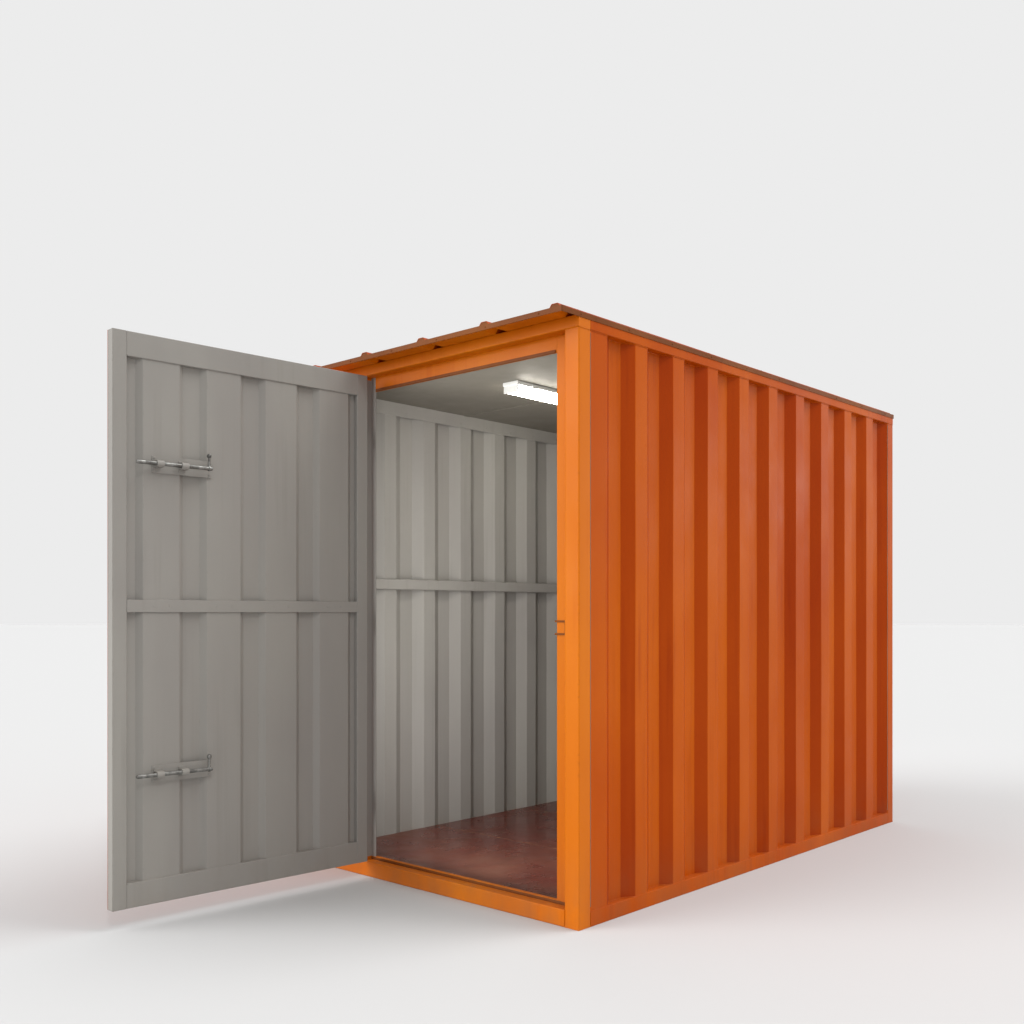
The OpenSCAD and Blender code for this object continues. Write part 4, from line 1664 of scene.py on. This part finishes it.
@dataclass
class SlideBolts:
    """Two slide bolts on the inside of the door."""

    door: DoorFrame
    rod: float = 0.008
    guide: float = 0.030
    plate: float = 0.004
    play: float = 0.0006
    strap: float = 0.006
    foot: float = 0.022

    def base(self, level: str) -> None:
        """Make a bolt's plate and its two guides.

        Args:
            level: Either upper or lower.
        """
        node = f"{level}_bolt_base"
        low, high = self.door.box(node)
        axis_y = self.door.box(f"{level}_bolt_rod")[0].y + self.rod
        axis_z = (low.z + high.z) / 2
        face = low.y + self.plate
        outline = rounded(rectangle(low.x, low.z, high.x, high.z), 0.006, 4)
        plate = Blank().drawn(outline, Along.Y, low.y, face)
        for x in (low.x + 0.014, high.x - 0.010):
            for z in (low.z + 0.010, high.z - 0.010):
                plate.screw((x, face, z), (0, 1, 0), 0.004, 0.0065)
        inner = self.rod + self.play
        outer = self.rod + self.strap
        for x in (high.x - 0.005 - self.guide, (low.x + high.x) / 2 - self.guide / 2 + 0.005):
            strap = [(face, axis_z - outer)]
            strap += [(axis_y + outer * math.cos(a), axis_z + outer * math.sin(a))
                      for a in evenly(-math.pi / 2, math.pi / 2, 15)]
            strap += [(face, axis_z + outer), (face, axis_z + inner)]
            strap += [(axis_y + inner * math.cos(a), axis_z + inner * math.sin(a))
                      for a in evenly(math.pi / 2, -math.pi / 2, 15)]
            strap += [(face, axis_z - inner)]
            n = len(strap)
            points = [Vector((x + self.guide * k, p, q)) for k in (0, 1) for p, q in strap]
            faces = [(i, (i + 1) % n, n + (i + 1) % n, n + i) for i in range(n)]
            for side in (0, n):
                faces += [(side + i, side + i + 1, side + n - 2 - i, side + n - 1 - i)
                          for i in range(n // 2 - 1)]
            plate.add(points, faces)
            for sign in (1, -1):
                z0, z1 = sorted((axis_z + sign * (outer - 0.003), axis_z + sign * self.foot))
                plate.block((x, face - 0.0005, z0), (x + self.guide, face + 0.0035, z1), 0.001)
        plate.made(f"{node}_plate", Coat.GREY, Body.DOOR, [node], self.door.swing)

    def bolt(self, level: str, body: Body) -> None:
        """Make a bolt's rod with its upright handle and knob.

        Args:
            level: Either upper or lower.
            body: The body that the rod rides on.
        """
        node = f"{level}_bolt_rod"
        low, high = self.door.box(node)
        y, z = low.y + 0.010, low.z + self.rod
        r = self.rod
        long = high.x - low.x
        rod = Blank().turned([(r - 0.002, 0), (r, 0.002), (r, long - 0.005), (r * 0.5, long)],
                             (low.x, y, z), (1, 0, 0), 28)
        x = low.x + 0.014
        top = high.z - 0.010 - z
        rod.turned([(0.0075, 0.004), (0.0075, 0.010), (0.005, 0.013), (0.005, top - 0.008),
                    (0.0065, top - 0.0076), (0.0085, top - 0.0053), (0.0098, top - 0.002), (0.010, top),
                    (0.0094, top + 0.0034), (0.0077, top + 0.0064), (0.005, top + 0.0087),
                    (0.0015, top + 0.0099)], (x, y, z), (0, 0, 1), 24)
        rod.turned([(r + 0.0025, 0), (r + 0.003, 0.0006), (r + 0.003, 0.0064), (r + 0.0025, 0.007)],
                   (x - 0.0035, y, z), (1, 0, 0), 24)
        rod.made(f"{node}_turned", Coat.ZINC, body, [node], self.door.swing)

    def build(self) -> None:
        """Make both bolts."""
        for level, body in (("upper", Body.UPPER_ROD), ("lower", Body.LOWER_ROD)):
            self.base(level)
            self.bolt(level, body)


# ---------------------------------------------------------------- studio


@dataclass
class Studio:
    """A plain pale floor, soft light and the camera."""

    eye: Vector = Vector((3.499, -4.771, 1.257))
    azimuth: float = 42.6
    lens: float = 37.4
    rise: float = 0.0986
    back: Colour = chip(236, 236, 236)
    floor_tone: float = 0.53
    key: float = 1.0
    low: float = 1.5
    top: float = 1.5
    window: float = 0.4
    room: float = 22.0
    glow: float = 24.0

    def floor(self) -> None:
        """Lay the pale floor, which isn't part of the cabin."""
        mesh = bpy.data.meshes.new("studio_floor")
        count, reach = 96, 120.0
        turns = [2 * math.pi * k / count for k in range(count)]
        rim = [Vector((reach * math.cos(a), reach * math.sin(a), 0)) for a in turns]
        mesh.from_pydata(rim, [], [tuple(range(count))])
        floor = bpy.data.objects.new("studio_floor", mesh)
        bpy.context.scene.collection.objects.link(floor)
        r = Recipe("studio_floor_paint")
        tone = (self.floor_tone,) * 3
        worn = tuple(0.97 * c for c in tone)
        colour = r.blend(r.span(r.cloud(0.6, detail=2), 0.4, 0.6, 0, 0.02), tone, worn)
        mesh.materials.append(r.done(colour, 0.9, gloss=0.0))

    def world(self) -> None:
        """Set the even pale surroundings."""
        world = bpy.data.worlds.new("studio_world")
        world.use_nodes = True
        shade = world.node_tree.nodes["Background"]
        shade.inputs["Color"].default_value = (*self.back, 1.0)
        shade.inputs["Strength"].default_value = 1.0
        bpy.context.scene.world = world

    def sun(self, name: str, power: float, spread: float, azimuth: float, height: float) -> None:
        """Hang one distant lamp.

        Args:
            name: Its name.
            power: Its strength.
            spread: How wide it looks, in degrees, which softens its shadows.
            azimuth: Where it stands, in degrees from straight in front towards the right.
            height: How high it stands, in degrees.
        """
        light = bpy.data.lights.new(name, "SUN")
        light.energy = power
        light.angle = math.radians(spread)
        lamp = bpy.data.objects.new(name, light)
        a, h = math.radians(azimuth), math.radians(height)
        towards = Vector((math.sin(a) * math.cos(h), -math.cos(a) * math.cos(h), math.sin(h)))
        lamp.rotation_euler = towards.to_track_quat("Z", "Y").to_euler()
        bpy.context.scene.collection.objects.link(lamp)

    def panel(self, name: str, power: float, size: tuple[float, float],
              place: Sequence[float], aim: Sequence[float]) -> None:
        """Stand a soft lamp with a rectangular face.

        Args:
            name: Its name.
            power: Its strength in watts.
            size: Its width and height.
            place: Where it stands.
            aim: The point that it faces.
        """
        light = bpy.data.lights.new(name, "AREA")
        light.shape = "RECTANGLE"
        light.size, light.size_y = size
        light.energy = power
        lamp = bpy.data.objects.new(name, light)
        lamp.location = place
        lamp.rotation_euler = (Vector(place) - Vector(aim)).to_track_quat("Z", "Y").to_euler()
        lamp.visible_camera = False
        bpy.context.scene.collection.objects.link(lamp)

    def lamps(self) -> None:
        """Hang the soft lamps: outside, inside the doorway, and behind the right wall's end."""
        self.sun("key_light", self.key, spread=40, azimuth=-32, height=40)
        self.sun("low_light", self.low, spread=40, azimuth=-28, height=12)
        self.sun("top_light", self.top, spread=32, azimuth=138, height=57)
        self.sun("window_light", self.window, spread=4, azimuth=63, height=43.5)
        self.panel("room_light", self.room, size=(1.05, 2.0), place=(0.12, -1.39, 1.25),
                   aim=(0.12, 0.0, 1.25))
        self.panel("glow_light", self.glow, size=(1.5, 1.5), place=(3.5, 4.7, 2.58), aim=(0.85, 0.0, 1.9))

    def camera(self) -> None:
        """Stand the camera in front of the right corner."""
        data = bpy.data.cameras.new("camera")
        data.lens = self.lens
        data.sensor_width = 36.0
        data.shift_y = self.rise
        data.clip_end = 500.0
        camera = bpy.data.objects.new("camera", data)
        a = math.radians(self.azimuth)
        camera.location = self.eye
        ahead = Vector((-math.sin(a), math.cos(a), 0))
        camera.rotation_euler = ahead.to_track_quat("-Z", "Y").to_euler()
        bpy.context.scene.collection.objects.link(camera)
        bpy.context.scene.camera = camera
        bpy.context.scene.view_settings.view_transform = "Standard"

    def build(self) -> None:
        """Set up the whole studio."""
        self.floor()
        self.world()
        self.lamps()
        self.camera()


def main() -> None:
    """Build the cabin, piece by piece, and its studio."""
    logging.basicConfig(level=logging.INFO, format="%(name)s: %(message)s")
    door = DoorFrame()
    for part in (Studio(), BaseFrame(), Floor(), CornerFrame(), Walls(), Roof(), Ceiling(), Doorway(),
                 DoorLeaf(door), Hinges(door), SlideBolts(door)):
        log.info("building %s", type(part).__name__)
        part.build()


if __name__ == "__main__":
    main()
